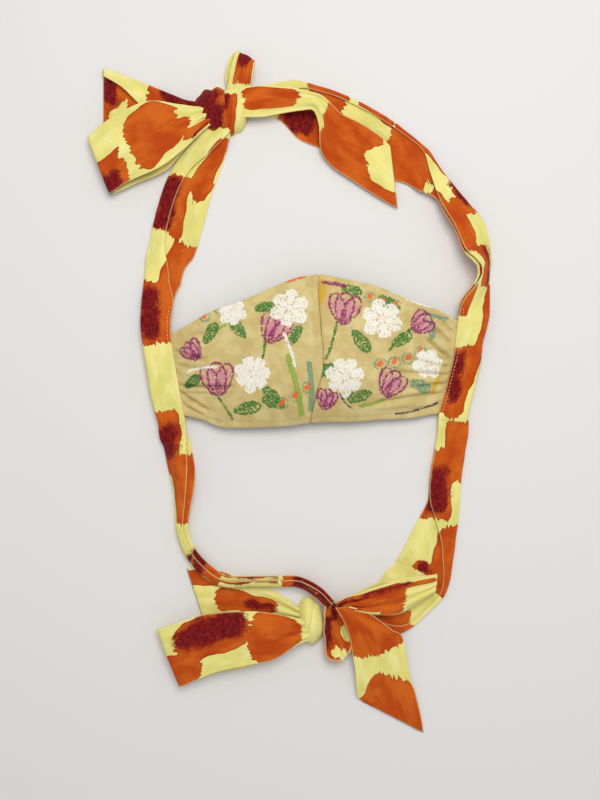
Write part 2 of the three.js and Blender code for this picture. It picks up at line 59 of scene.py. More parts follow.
# %% Named sizes
METRES = 0.001
MASK_HALF_WIDTH = 105.5
MASK_HALF_HEIGHT = 57
MASK_RISE = 30
CROWN_REACH = 175
NECK_REACH = 242
FOLDED_WIDTH = 24
STRIP_WIDTH = 2 * FOLDED_WIDTH
CLOTH = 1.2  # one doubled layer of cotton
GAP = 0.3  # air between two layers
SEAT = 6  # how far a panel reaches in between its strip's leaves
KNOT_HEIGHT = 15
CROWN_LOOP = 105
CROWN_STUB = 46
CROWN_TAIL = 152
NECK_LOOP = 127
NECK_BACK_TAIL = 104
NECK_SIDE_LOOP = 89
NECK_TAIL = 100
CROWN_KNOT = (-0.66, 1.73)  # across and up, in the tables' shares
NECK_KNOT = (0.125, -1.65)


def up_mm(share):
    """Height in plan: shares of the mask's half height, then of the reach to each bow."""
    share = np.asarray(share, float)
    above = MASK_HALF_HEIGHT + (share - 1) * CROWN_REACH
    below = -MASK_HALF_HEIGHT + (share + 1) * NECK_REACH
    return np.where(share > 1, above, np.where(share < -1, below, share * MASK_HALF_HEIGHT))


def knot_middle(knot):
    return np.array([knot[0] * MASK_HALF_WIDTH, float(up_mm(knot[1])), 0.0])


low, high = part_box("upper_knot")
SHIFT = np.array([(low.x + high.x) / 2, (low.y + high.y) / 2, 0]) / METRES - knot_middle(CROWN_KNOT)
print("the tables' zero lies at", SHIFT.round(2), "mm in the frame")

# %% [markdown]
# ## The courses of the bands
# Cloth that was laid down by hand follows no rule, and a drape simulation would give it other folds.
# So each band is a short table of sections, set against the photograph, one row each.
#
# - In a strip, across and up place the fold, in shares of the mask's half width and half height. lift
#   is its height as a share of the dome's, and face is the way from the fold to the free edges, in
#   degrees. low and high are the angles of its two leaves, curl bends them over, and leaf and over
#   are their widths as shares of the folded strip's.
# - In a bow, out and off are shares of the band's reach, along its axis and beside it. high is a share
#   of the knot's height, turn and rise tilt the band's width in degrees, and wide is its width as a
#   share of the open strip's.
# - In a panel, station runs from the strip to the seam, top and bottom are shares of the mask's half
#   height, and rise is a share of the way up to the seam.

# %% The left strip: across, up, lift, face, low, high, curl, leaf, over
LEFT_STRIP = [
    [-0.72, 1.68, 0.12, -8, 0, 4, 0, 0.72, 0.72],
    [-0.78, 1.65, 0.1, -5, 0, 4, 0, 0.8, 0.8],
    [-0.91, 1.57, 0.04, -6, 0, 4, 0, 1.21, 0.79],
    [-1.01, 1.5, 0, -14, 0, 4, 0, 1.44, 0.56],
    [-1.09, 1.4, 0, -12, 0, 4, 0, 1.53, 0.47],
    [-1.15, 1.28, 0, -17, 0, 4, 0, 1.56, 0.44],
    [-1.2, 1.15, 0, -18, 0, 4, 0, 1.5, 0.5],
    [-1.23, 1.04, 0.03, -16, 0, 4, 0, 1.22, 0.78],
    [-1.25, 0.71, 0.08, -8, 0, 3, 0, 1.0, 1],
    [-1.26, 0.34, 0.12, -2, 0, 1, 0, 0.95, 0.95],
    [-1.24, 0, 0.13, 7, 0, 0, 0, 0.92, 0.92],
    [-1.21, -0.36, 0.13, 10, 0, 0, 0, 0.92, 0.92],
    [-1.18, -0.68, 0.12, 10, 0, 0, 0, 0.92, 0.92],
    [-1.13, -1.01, 0.08, 9, 4, 6, 0, 0.86, 0.86],
    [-1.09, -1.08, 0.04, 4, 24, 50, 50, 0.86, 0.86],
    [-1.06, -1.15, 0, 2, 34, 66, 60, 0.86, 0.86],
    [-1.02, -1.22, 0, 4, 56, 82, 70, 0.72, 0.72],
    [-1, -1.28, 0, 8, 74, 96, 90, 0.56, 0.56],
    [-0.99, -1.34, 0, 18, 80, 104, 100, 0.44, 0.44],
    [-0.96, -1.39, 0, 34, 84, 106, 110, 0.42, 0.42],
    [-0.9, -1.44, 0.01, 48, 80, 106, 110, 0.44, 0.44],
    [-0.79, -1.49, 0.03, 60, 76, 104, 110, 0.44, 0.44],
    [-0.65, -1.52, 0.07, 74, 78, 104, 110, 0.38, 0.38],
    [-0.46, -1.52, 0.1, 86, 78, 102, 105, 0.36, 0.36],
    [-0.24, -1.52, 0.12, 92, 72, 96, 100, 0.36, 0.36],
    [-0.11, -1.52, 0.17, 74, 68, 92, 95, 0.34, 0.34],
    [0.02, -1.55, 0.24, 58, 62, 84, 90, 0.34, 0.34],
    [0.12, -1.59, 0.26, 52, 60, 80, 80, 0.3, 0.3],
]

# %% The right strip, with the same columns
RIGHT_STRIP = [
    [-0.6, 1.8, 0.16, -73, 0, 4, 0, 0.6, 0.6],
    [-0.52, 1.83, 0.14, -76, 0, 4, 0, 0.7, 0.7],
    [-0.38, 1.84, 0.06, -84, 0, 4, 0, 0.95, 0.95],
    [-0.24, 1.86, 0, -90, 0, 4, 0, 1.24, 0.76],
    [-0.1, 1.86, 0, -93, 0, 4, 0, 1.78, 0.22],
    [0.09, 1.83, 0, -104, 0, 4, 0, 1.86, 0.14],
    [0.27, 1.79, 0, -112, 0, 4, 0, 1.86, 0.14],
    [0.49, 1.72, 0, -116, 0, 4, 0, 1.86, 0.14],
    [0.66, 1.65, 0, -118, 0, 4, 0, 1.72, 0.12],
    [0.82, 1.57, 0.03, -119, 0, 5, 0, 1.32, 0.12],
    [0.9, 1.5, 0.08, -121, 2, 8, 0, 1.06, 0.36],
    [1.01, 1.41, 0.16, -132, 12, 18, 10, 0.72, 0.66],
    [1.13, 1.32, 0.2, -149, 22, 26, 10, 0.88, 0.86],
    [1.24, 1.24, 0.2, -158, 20, 24, 10, 1.0, 1],
    [1.29, 1.14, 0.2, -164, 30, 35, 15, 1.0, 1],
    [1.3, 1.07, 0.16, -168, 56, 62, 20, 0.9, 0.9],
    [1.29, 1, 0.14, -180, 70, 76, 30, 0.72, 0.72],
    [1.29, 0.82, 0.14, -186, 58, 62, 30, 0.8, 0.8],
    [1.29, 0.62, 0.16, -182, 25, 29, 10, 1.0, 1],
    [1.28, 0.38, 0.15, -184, 8, 9, 0, 0.98, 0.98],
    [1.24, 0.07, 0.14, -187, 0, 0, 0, 0.86, 0.86],
    [1.23, -0.14, 0.14, -184, 0, 0, 0, 0.88, 0.88],
    [1.2, -0.38, 0.14, -182, 0, 0, 0, 0.9, 0.9],
    [1.17, -0.62, 0.13, -184, 0, 0, 0, 0.9, 0.9],
    [1.14, -0.86, 0.1, -180, 0, 0, 0, 0.94, 0.94],
    [1.14, -1.02, 0.05, -180, 0, 3, 0, 0.98, 0.98],
    [1.12, -1.09, 0, -177, 0, 4, 0, 1.0, 1],
    [1.09, -1.18, 0, -183, 0, 4, 0, 1.0, 1],
    [1.08, -1.25, 0, -180, 0, 4, 0, 1.03, 0.97],
    [1.07, -1.31, 0, -182, 0, 4, 0, 1.24, 0.76],
    [1.05, -1.37, 0, -180, 0, 4, 0, 1.5, 0.5],
    [1.03, -1.43, 0, -184, 0, 4, 0, 1.66, 0.34],
    [0.98, -1.54, 0, -208, 0, 4, 0, 1.85, 0.15],
    [0.85, -1.61, 0, -226, 0, 4, 0, 1.9, 0.12],
    [0.67, -1.67, 0.02, -244, 0, 4, 0, 1.8, 0.2],
    [0.46, -1.68, 0.08, -249, 0, 4, 0, 1.4, 0.6],
    [0.26, -1.67, 0.16, -261, 0, 4, 0, 0.9, 0.9],
    [0.15, -1.67, 0.2, -268, 0, 4, 0, 0.6, 0.6],
]

# %% The upper bow: out, off, high, turn, rise, wide
CROWN_LOOP_FRONT = [
    [0, 0, 0.74, -11, 0, 0.3],
    [0.15, 0, 0.78, -11, 0, 0.35],
    [0.33, 0, 0.9, -15, 0, 0.72],
    [0.54, -0.03, 0.92, -11, 1, 1.08],
    [0.81, -0.03, 0.82, -9, 0, 1.06],
    [0.97, 0, 0.7, -3, 0, 1.0],
    [1.0, 0, 0.58, -3, 0, 0.99],
    [0.98, 0.01, 0.45, -3, 0, 0.98],
    [0.79, 0, 0.38, -7, 0, 1.02],
    [0.53, 0, 0.4, -7, 0, 1.02],
    [0.32, 0.01, 0.48, -13, 0, 0.58],
    [0.15, 0.01, 0.56, -8, 0, 0.28],
    [0, 0.01, 0.54, -8, 0, 0.25],
]

# %% Its back loop is folded, with a strip's columns
CROWN_LOOP_BACK = [
    [-0.1, 0.03, 0.2, -104, 0, 4, 0, 0.3, 0.3],
    [-0.19, 0.05, 0.17, -104, 0, 4, 0, 0.32, 0.32],
    [-0.3, 0.08, 0.12, -106, 0, 5, 0, 0.6, 0.6],
    [-0.44, 0.14, 0.08, -108, 0, 7, 0, 1.05, 0.95],
    [-0.59, 0.2, 0.06, -104, 0, 9, 0, 1.32, 0.68],
    [-0.74, 0.26, 0.04, -97, 0, 12, 0, 1.6, 0.4],
    [-0.89, 0.31, 0.03, -90, 0, 14, 0, 1.76, 0.24],
]

# %% Its two tails
CROWN_STUB_BAND = [
    [0, -0.05, 0.66, 22, 0, 0.3],
    [0.41, -0.11, 0.62, 22, 0, 0.36],
    [0.7, -0.06, 0.62, 22, 0, 0.37],
    [0.93, -0.02, 0.5, -9, 0, 0.35],
    [0.99, -0.02, 0.38, -9, 0, 0.35],
    [0.9, 0.03, 0.26, 4, 0, 0.38],
    [0.63, 0.02, 0.26, 17, 0, 0.36],
    [0.41, -0.08, 0.36, 22, 0, 0.32],
    [0, -0.08, 0.4, 22, 0, 0.25],
]
CROWN_TAIL_BAND = [
    [0, 0.03, 0.66, 36, 0, 0.4],
    [0.08, 0.08, 0.68, 36, 0, 0.48],
    [0.16, 0.13, 0.66, 32, 0, 0.5],
    [0.26, 0.19, 0.68, 24, -3, 0.42],
    [0.35, 0.23, 0.78, 8, -6, 0.33],
    [0.41, 0.25, 0.8, 2, -5, 0.28],
    [0.47, 0.22, 0.68, 0, -1, 0.4],
    [0.54, 0.16, 0.5, -4, 5, 0.66],
    [0.63, 0.14, 0.42, -4, 5, 0.82],
    [0.74, 0.13, 0.36, 8, 4, 0.86],
    [0.84, 0.12, 0.32, 22, 3, 0.93],
    [0.93, 0.11, 0.28, 35, 2, 1.0],
]

# %% The lower bow
NECK_LOOP_FRONT = [
    [0, 0, 0.74, -6, 0, 0.3],
    [0.18, -0.01, 0.78, -6, 0, 0.39],
    [0.34, -0.01, 0.9, -11, 0, 0.73],
    [0.5, -0.03, 0.9, -9, 1, 0.86],
    [0.74, -0.04, 0.8, -2, 0, 0.95],
    [0.97, 0, 0.66, 10, 0, 0.98],
    [1.0, 0, 0.52, 10, 0, 0.98],
    [0.97, 0, 0.38, 10, 0, 0.98],
    [0.74, -0.02, 0.34, 0, 0, 0.94],
    [0.52, -0.01, 0.38, -5, 0, 0.87],
    [0.34, 0, 0.46, -6, 0, 0.6],
    [0.17, 0, 0.54, -5, 0, 0.29],
    [0, 0, 0.54, -5, 0, 0.25],
]
NECK_TAIL_BACK = [
    [0.02, -0.02, 0.36, 23, 0, 0.2],
    [0.2, -0.02, 0.3, 23, 0, 0.24],
    [0.34, -0.02, 0.14, 8, 0, 0.44],
    [0.5, -0.02, 0.06, 3, 0, 0.67],
    [0.71, -0.02, 0.06, 6, 0, 0.8],
    [0.86, -0.01, 0.06, 14, 0, 0.95],
    [1.02, 0.01, 0.06, 30, 0, 1.0],
]

# %% Its side loop and front tail
NECK_LOOP_SIDE = [
    [0, 0.06, 0.7, 3, 0, 0.2],
    [0.19, 0.12, 0.78, 3, 0, 0.23],
    [0.34, 0.08, 0.86, -9, 0, 0.34],
    [0.48, 0.05, 0.86, -22, 0, 0.46],
    [0.66, 0.02, 0.78, -24, 0, 0.55],
    [0.95, 0, 0.66, -28, 0, 0.32],
    [0.99, 0, 0.54, -28, 0, 0.3],
    [0.96, -0.01, 0.42, -28, 0, 0.32],
    [0.68, 0, 0.42, -22, 0, 0.55],
    [0.48, 0.05, 0.44, -17, 0, 0.52],
    [0.33, 0.08, 0.5, -13, 0, 0.38],
    [0.19, 0.1, 0.56, -5, 0, 0.22],
    [0, 0.06, 0.54, -5, 0, 0.2],
]
NECK_TAIL_BAND = [
    [-0.06, 0.17, 0.96, -35, -4, 0.22],
    [0.06, 0.2, 0.92, -26, -6, 0.42],
    [0.24, 0.2, 0.74, -30, -5, 0.68],
    [0.4, 0.15, 0.5, -12, -4, 0.9],
    [0.62, 0.01, 0.22, -22, -2, 0.92],
    [0.76, -0.05, 0.1, -46, 0, 0.94],
    [0.88, -0.1, 0.06, -69, 0, 1.06],
]

# %% The mask's panels: station, top, bottom, rise
LEFT_PANEL = [
    [0, 0.19, -0.97, 0],
    [0.07, 0.26, -0.98, 0.1],
    [0.14, 0.34, -1, 0.22],
    [0.28, 0.5, -1.07, 0.43],
    [0.42, 0.6, -1.07, 0.6],
    [0.56, 0.71, -1.07, 0.74],
    [0.7, 0.83, -1.06, 0.85],
    [0.84, 0.94, -1.04, 0.93],
    [0.95, 0.98, -1.01, 0.98],
    [1, 0.99, -1.0, 1],
]
RIGHT_PANEL = [
    [0, 0.34, -0.88, 0],
    [0.07, 0.42, -0.9, 0.1],
    [0.14, 0.5, -0.92, 0.22],
    [0.28, 0.61, -0.95, 0.43],
    [0.42, 0.7, -0.96, 0.6],
    [0.56, 0.82, -0.98, 0.74],
    [0.7, 0.89, -0.99, 0.85],
    [0.84, 0.94, -0.99, 0.93],
    [0.95, 0.98, -1.0, 0.98],
    [1, 0.99, -1.0, 1],
]

# %% The centre seam: up, across, rise
SEAM = [
    [-1, -0.02, 0.34],
    [-0.9, -0.01, 0.5],
    [-0.8, 0, 0.64],
    [-0.66, 0.02, 0.8],
    [-0.52, 0.04, 0.91],
    [-0.38, 0.06, 0.98],
    [-0.27, 0.07, 1],
    [0, 0.07, 1],
    [0.14, 0.06, 0.98],
    [0.41, 0.05, 0.9],
    [0.69, 0.04, 0.74],
    [0.99, 0.04, 0.48],
]

# %% [markdown]
# ## From tables to cloth
# Each band of cloth is a grid of points: rows run along it and columns across it. A table gives a few
# sections, a smooth curve fills in the rows between them, and the grid gets its thickness at the end.
# A grid keeps the threads' directions, so the print and the weave can follow the cloth.

# %% Curves and ripples
ROW_STEP = 1.3  # mm between the rows of a finished band
FINE_STEPS = 24  # steps of the smooth curve between two rows of a table


def smooth(table, steps=FINE_STEPS):
    """Rows between the rows of a table, by a smooth curve through each column."""
    rows = np.array(table, float)
    padded = np.vstack([rows[:1], rows, rows[-1:]])
    t = np.arange(steps)[:, None] / steps
    spans = []
    for i in range(len(rows) - 1):
        a, b, c, d = padded[i : i + 4]
        curve = 2 * b + (c - a) * t + (2 * a - 5 * b + 4 * c - d) * t**2
        spans.append(0.5 * (curve + (3 * b - a - 3 * c + d) * t**3))
    return np.vstack(spans + [rows[-1:]])


def run_along(line):
    """How far each point of a line lies from its first one, along the line."""
    return np.concatenate([[0], np.cumsum(np.linalg.norm(np.diff(line, axis=0), axis=1))])


def even_rows(table, place, step=ROW_STEP):
    """Rows at even distances along the line that place() gives for them."""
    fine = smooth(table)
    run = run_along(place(fine))
    wanted = np.linspace(0, run[-1], max(3, int(round(run[-1] / step)) + 1))
    rows = np.column_stack([np.interp(wanted, run, fine[:, k]) for k in range(fine.shape[1])])
    return rows, wanted


def ripple(along, across, seed, length, stretch=1.0, waves=9):
    """A smooth random height between about -1 and 1, with waves of about the given length in mm."""
    rng = np.random.default_rng(seed)
    total = 0
    for _ in range(waves):
        angle = rng.uniform(0, 2 * np.pi)
        size = length * rng.uniform(0.7, 1.5)
        phase = rng.uniform(0, 2 * np.pi)
        place = along / stretch * np.cos(angle) + across * np.sin(angle)
        total = total + np.sin(2 * np.pi * place / size + phase)
    return total / np.sqrt(waves) / 1.2


def ridge(distance, width):
    """1 at distance 0, and next to nothing two widths away."""
    return np.exp(-((distance / width) ** 2))


def turned(x, y, degrees):
    """x and y turned about zero."""
    c, s = math.cos(math.radians(degrees)), math.sin(math.radians(degrees))
    return x * c - y * s, x * s + y * c


print("a band has a row every", ROW_STEP, "mm")

# %% Thickness for a grid
UV_MM = 100  # mm of cloth in one unit of the UV map


def grid_normals(grid):
    """The direction square to the cloth at each point of a grid."""
    normal = np.cross(np.gradient(grid, axis=0), np.gradient(grid, axis=1))
    return normal / np.maximum(np.linalg.norm(normal, axis=-1, keepdims=True), 1e-9)


def edge_round(distance, half):
    """Half the thickness at a distance from an edge: a quarter circle, then flat."""
    t = np.clip(distance / half, 0, 1)
    return half * np.sqrt(np.maximum(0, 1 - (1 - t) ** 2))


def cloth_mesh(name, grid, half, fields):
    """A closed mesh around a grid in mm. half is half the thickness, 0 on the border."""
    rows, cols = grid.shape[:2]
    thickness = grid_normals(grid) * half[..., None]
    inner = np.zeros((rows, cols), bool)
    inner[1:-1, 1:-1] = True
    top_id = np.arange(rows * cols).reshape(rows, cols)
    bottom_id = top_id.copy()
    bottom_id[inner] = rows * cols + np.arange(inner.sum())
    points = np.vstack([(grid + thickness).reshape(-1, 3), (grid - thickness)[inner]]) + SHIFT
    points[:, 2] = np.maximum(points[:, 2], 0)

    def quads(ids, flip):
        a, b, c, d = ids[:-1, :-1], ids[1:, :-1], ids[1:, 1:], ids[:-1, 1:]
        order = (a, d, c, b) if flip else (a, b, c, d)
        return np.stack(order, axis=-1).reshape(-1, 4)

    faces = np.vstack([quads(top_id, False), quads(bottom_id, True)])
    mesh = bpy.data.meshes.new(name)
    mesh.from_pydata((points * METRES).tolist(), [], faces.tolist())
    mesh.polygons.foreach_set("use_smooth", [True] * len(mesh.polygons))
    corner = np.empty(len(mesh.loops), int)
    mesh.loops.foreach_get("vertex_index", corner)
    both = {key: np.concatenate([v.reshape(-1), v[inner]]) for key, v in fields.items()}
    uv_mm = np.column_stack([both.pop("along"), both.pop("across")])[corner] / UV_MM
    mesh.uv_layers.new(name="cloth").data.foreach_set("uv", uv_mm.reshape(-1).astype(np.float32))
    for key, value in both.items():
        mesh.attributes.new(key, "FLOAT", "POINT").data.foreach_set("value", value.astype(np.float32))
    mesh.update()
    obj = bpy.data.objects.new(name, mesh)
    bpy.context.scene.collection.objects.link(obj)
    return obj


# %% Finish a piece: its material, its body and its hidden solid
def finish_cloth(obj, node, material, flat):
    obj.data.materials.append(material)
    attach(obj, "root")
    if node:
        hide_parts(node)
    wide, long = round(float(flat[0])), round(float(flat[1]))
    print(obj.name, "is", wide, "by", long, "mm of cloth in", len(obj.data.polygons), "faces")


# %% [markdown]
# ## The blotch print
# The strips are printed with loose orange and crimson blotches on yellow: abstract, and with no motif.
# Painting them needs either an image or a rule. Here each blotch is a rounded patch, charted where it
# lies in plan, and stored on the cloth as a distance in mm to its edge. The shader then cuts the colour
# at distance zero and roughens that edge, so it stays sharp at any zoom.

# %% Charting blotches
PIXEL_MM = 0.78  # one pixel of the photograph, which looks straight down
PLAN_ZERO = (313, 350)  # the tables' zero in the photograph's pixels
FAR = 30.0  # mm, the distance where there is no blotch
SAME_SPOT = 1.5  # mm, how near a point of the cloth has to lie below a charted middle
END_BLUR = 6  # mm in which a blotch's side turns into its end


def plan(x, y):
    """A pixel of the photograph as a place in plan, in mm."""
    return (x - PLAN_ZERO[0]) * PIXEL_MM, (PLAN_ZERO[1] - y) * PIXEL_MM


def patch(du, dv, half_u, half_v, taper=0.0, corner=0.6):
    """Signed distance in mm to a rounded patch, and how much its nearest edge is an end.

    taper narrows it towards its far end, or towards its near end if negative. corner rounds it off."""
    half_v = half_v * (1 - taper * np.clip(du / half_u, -1, 1))
    r = np.minimum(corner * half_u, corner * half_v)
    qu, qv = np.abs(du) - (half_u - r), np.abs(dv) - (half_v - r)
    outside = np.hypot(np.maximum(qu, 0), np.maximum(qv, 0))
    distance = outside + np.minimum(np.maximum(qu, qv), 0) - r
    end = np.clip(0.5 + (qu - qv) / END_BLUR, 0, 1)
    return distance, end


def blotches(grid, along, across, chart, folded=False):
    """The distances in mm from each point of a grid to the blotches of a chart.

    On a folded strip both leaves take the same print, but for a kind that starts with top or under."""
    leaves = {"top": across > 0, "under": across < 0}
    across = np.abs(across) if folded else across
    fields = {"orange": np.full(along.shape, FAR), "crimson": np.full(along.shape, FAR)}
    ends = np.zeros(along.shape)
    for x, y, half_u, half_v, turn, kind, *shape in chart:
        px, py = plan(x, y)
        gap = np.hypot(grid[..., 0] - px, grid[..., 1] - py)
        height = np.where(gap < gap.min() + SAME_SPOT, grid[..., 2], -np.inf)
        spot = np.unravel_index(np.argmax(height), gap.shape)
        du, dv = turned(along - along[spot], across - across[spot], -turn)
        distance, end = patch(du, dv, half_u * PIXEL_MM, half_v * PIXEL_MM, *shape)
        leaf, _, kind = kind.rpartition(" ")
        if leaf:
            distance = np.where(leaves[leaf], distance, FAR)
        if kind == "yellow":
            closer = -distance > fields["orange"]
            fields["orange"] = np.maximum(fields["orange"], -distance)
        else:
            closer = distance < fields[kind]
            fields[kind] = np.minimum(fields[kind], distance)
        if kind != "crimson":
            ends = np.where(closer, end, ends)
    return {**fields, "ends": ends}


print("a pixel of the photograph is", PIXEL_MM, "mm on the table")

# %% [markdown]
# ## The strips' material
# Printed cotton has three scales: the blotches, the brush or crayon grain inside them, and the weave.
# The blotches come from the distances on the mesh. Noise in the cloth's own coordinates, stretched
# along the strip, makes their ends jagged like brush strokes, and two crossed waves give the threads.

# %% Small helpers for node trees
THREAD_MM = 0.55  # from one thread of the weave to the next
THREAD_BUMP = 0.0002  # metres that a thread stands up


def srgb(r, g, b):
    """A colour as seen on a screen, 0 to 255, as the linear value that a shader takes."""
    linear = (c / 255 / 12.92 if c <= 10 else ((c / 255 + 0.055) / 1.055) ** 2.4 for c in (r, g, b))
    return (*linear, 1)


class Tree:
    """A short way to write a material's nodes."""

    def __init__(self, name):
        self.material = bpy.data.materials.new(name)
        self.material.use_nodes = True
        self.nodes = self.material.node_tree.nodes
        self.shader = self.nodes["Principled BSDF"]

    def put(self, node, inputs):
        """Fills a node's inputs, by name or number, with values or with other nodes' outputs."""
        for name, value in inputs.items():
            if isinstance(value, bpy.types.NodeSocket):
                self.material.node_tree.links.new(value, node.inputs[name])
            else:
                node.inputs[name].default_value = value

    def add(self, kind, inputs, **settings):
        node = self.nodes.new(kind)
        for key, value in settings.items():
            setattr(node, key, value)
        self.put(node, inputs)
        return node

    def field(self, name):
        """A value that is stored on the mesh."""
        return self.add("ShaderNodeAttribute", {}, attribute_name=name).outputs["Fac"]

    def math(self, operation, a, b, c=0.0):
        return self.add("ShaderNodeMath", {0: a, 1: b, 2: c}, operation=operation).outputs[0]

    def plus(self, a, b):
        return self.math("ADD", a, b)

    def times(self, a, b, plus=0.0):
        return self.math("MULTIPLY_ADD", a, b, plus)

    def on_cloth(self, location, scale=(1, 1, 1)):
        """The place on the cloth, moved and scaled."""
        uv = self.add("ShaderNodeUVMap", {}, uv_map="cloth").outputs["UV"]
        inputs = {"Vector": uv, "Location": location, "Scale": scale}
        return self.add("ShaderNodeMapping", inputs).outputs["Vector"]

    def noise(self, mm, stretch=1.0, detail=2.0, rough=0.5, offset=0.0):
        """Noise from -1 to 1, with grains of about mm, which stretch makes long along the cloth."""
        place = self.on_cloth((offset, offset * 0.7, 0), (UV_MM / mm / stretch, UV_MM / mm, 1))
        inputs = {"Vector": place, "Scale": 1.0, "Detail": detail, "Roughness": rough}
        node = self.add("ShaderNodeTexNoise", inputs, noise_dimensions="2D")
        return self.times(node.outputs["Fac"], 2.0, -1.0)

    def step(self, value, start, end):
        """0 at start, 1 at end and smooth between; start may be the higher one."""
        low, high = (0.0, 1.0) if start < end else (1.0, 0.0)
        inputs = {"Value": value, "From Min": min(start, end), "From Max": max(start, end)}
        inputs.update({"To Min": low, "To Max": high})
        return self.add("ShaderNodeMapRange", inputs, interpolation_type="SMOOTHSTEP").outputs["Result"]

    def mix(self, share, a, b):
        """From colour a to colour b, whose sockets in a Mix node are numbers 6 and 7."""
        return self.add("ShaderNodeMix", {"Factor": share, 6: a, 7: b}, data_type="RGBA").outputs[2]

    def weave(self):
        """Crossed threads and a little slub, as a bump."""
        waves = []
        for direction, offset in (("X", 0.0), ("Y", 0.25)):
            scale = UV_MM / THREAD_MM / (2 * math.pi)
            inputs = {"Vector": self.on_cloth((offset, offset, 0)), "Scale": scale}
            inputs.update({"Distortion": 0.6, "Detail Scale": 1.5})
            waves.append(self.add("ShaderNodeTexWave", inputs, bands_direction=direction).outputs["Fac"])
        height = self.times(self.noise(1.6, stretch=3.0), 0.5, self.math("MAXIMUM", *waves))
        inputs = {"Strength": 0.35, "Distance": THREAD_BUMP, "Height": height}
        return self.add("ShaderNodeBump", inputs).outputs["Normal"]

    def cotton(self, color):
        """The finish that all the cotton shares: dull, woven, with a faint sheen."""
        self.put(self.shader, {"Base Color": color, "Roughness": self.times(self.noise(3), 0.06, 0.86)})
        self.put(self.shader, {"Specular IOR Level": 0.16, "Sheen Weight": 0.05, "Sheen Roughness": 0.5})
        self.put(self.shader, {"Normal": self.weave()})


# %% The blotch print's material
YELLOWS = srgb(238, 226, 134), srgb(220, 212, 120)
WASHED_YELLOW = srgb(246, 240, 176)
ORANGES = srgb(184, 68, 8), srgb(208, 100, 24)
ORANGE_RIM = srgb(140, 42, 12)
CRIMSONS = srgb(92, 6, 14), srgb(146, 26, 22)
# a pale cream, painted along the cloth's edges as their highlight
PAINTED_EDGE_HIGHLIGHT = srgb(240, 222, 160)


def make_strip_print():
    t = Tree("blotch_print_cotton")
    # the blotches' edges: bristle marks at their ends, a slow wander and a fine grain all round
    bristle_depth = t.times(t.field("ends"), 4.2, 0.35)
    bristle = t.times(t.noise(2.6, stretch=4.0, detail=3.0, rough=0.65), bristle_depth)
    wander = t.times(t.noise(13, stretch=1.3, detail=1.0, offset=1.7), 2.6)
    grain = t.times(t.noise(1.5, rough=0.6, offset=3.1), 0.35, wander)
    edge = t.plus(t.plus(t.field("orange"), bristle), grain)
    inside = t.step(edge, 0.22, -0.22)
    rim = t.times(t.step(edge, -1.5, -0.1), inside)
    # the three inks, each of two tones that run into each other
    yellow = t.mix(t.step(t.noise(22, stretch=1.5), -0.35, 0.35), *YELLOWS)
    washed = t.times(t.step(t.noise(7, stretch=3.5, offset=6.1), -0.1, 0.6), 0.5)
    yellow = t.mix(washed, yellow, WASHED_YELLOW)
    orange = t.mix(t.step(t.noise(15, 1.8, detail=4.0, rough=0.6, offset=7.7), -0.35, 0.45), *ORANGES)
    orange = t.mix(t.times(rim, 0.65), orange, ORANGE_RIM)
    crimson = t.mix(t.step(t.noise(2.2, 1.6, detail=3.0, rough=0.7, offset=9.1), -0.35, 0.45), *CRIMSONS)
    # crimson was scrubbed on nearly dry, so its edge is broken and soft
    scrub = t.times(t.noise(1.8, detail=3.0, rough=0.75, offset=5.3), 4.2)
    soft = t.times(t.noise(11, stretch=1.2, detail=3.0, rough=0.55, offset=2.2), 6.5)
    heart = t.step(t.plus(t.plus(t.field("crimson"), scrub), soft), 1.8, -3.2)
    color = t.mix(heart, t.mix(inside, yellow, orange), crimson)
    # painted highlight: the cloth's rounded edges and the ends of its bands are painted paler, as if light
    # caught them
    edge_highlight = t.times(t.step(t.field("edge"), 1.0, 0.4), 0.42)
    t.cotton(t.mix(edge_highlight, color, PAINTED_EDGE_HIGHLIGHT))
    return t.material


strip_print = make_strip_print()
print("made", strip_print.name)

# %% [markdown]
# ## The folded strips
# A strip is folded in half lengthwise, and its two leaves lie on each other beside the mask. Towards
# the bows the fold wanders to one side and the strip opens to its full width, and lower left it stands
# up and rolls over. A flat ribbon with a Solidify modifier would show no second leaf, so the section is
# drawn from the fold: an arm for each leaf, with its own angle.

# %% Strip sections
LEAF_STEPS = np.concatenate([np.linspace(0, 0.94, 18)[1:], [0.965, 0.982, 0.993, 1]])
TURN_STEPS = np.radians(np.linspace(-90, -270, 11))


def leaf_arm(start, length, angle, curl):
    """Points of one leaf from the fold outwards, which bends over by curl degrees."""
    shares = np.diff(np.concatenate([[0], LEAF_STEPS]))
    angles = np.radians(angle - curl * (LEAF_STEPS - shares / 2))
    steps = shares * length
    return start + np.column_stack([np.cumsum(steps * np.cos(angles)), np.cumsum(steps * np.sin(angles))])


def strip_section(row):
    """Points [from the fold, up] around a folded strip, and how far each lies across the cloth."""
    _, _, lift, _, low, high, curl, leaf, over = row
    seated = min(1, max(0, 1.5 - (high - low) / 2))
    r = (CLOTH + GAP + seated * (CLOTH + GAP)) / 2
    middle = math.radians((low + high) / 2)
    centre = np.array([r * math.cos(middle), r * math.sin(middle)])
    turn = centre + r * np.column_stack([np.cos(middle + TURN_STEPS), np.sin(middle + TURN_STEPS)])
    lower = leaf * FOLDED_WIDTH - r
    upper = max(0.3, over * FOLDED_WIDTH - r)
    path = np.vstack([leaf_arm(turn[0], lower, low, curl)[::-1], turn, leaf_arm(turn[-1], upper, high, curl)])
    path[:, 1] += lift * MASK_RISE + CLOTH / 2 - path[:, 1].min()
    run = np.linspace(-1, 1, len(turn)) * r * math.pi / 2
    across = np.concatenate([(run[0] - LEAF_STEPS * lower)[::-1], run, run[-1] + LEAF_STEPS * upper])
    return path, across


def by_mask(rows):
    """Where the rows of a strip's table put its folded edge, in plan."""
    return np.column_stack([rows[:, 0] * MASK_HALF_WIDTH, up_mm(rows[:, 1])])


def by_upper_knot(rows):
    return knot_middle(CROWN_KNOT)[:2] + rows[:, :2] * CROWN_LOOP


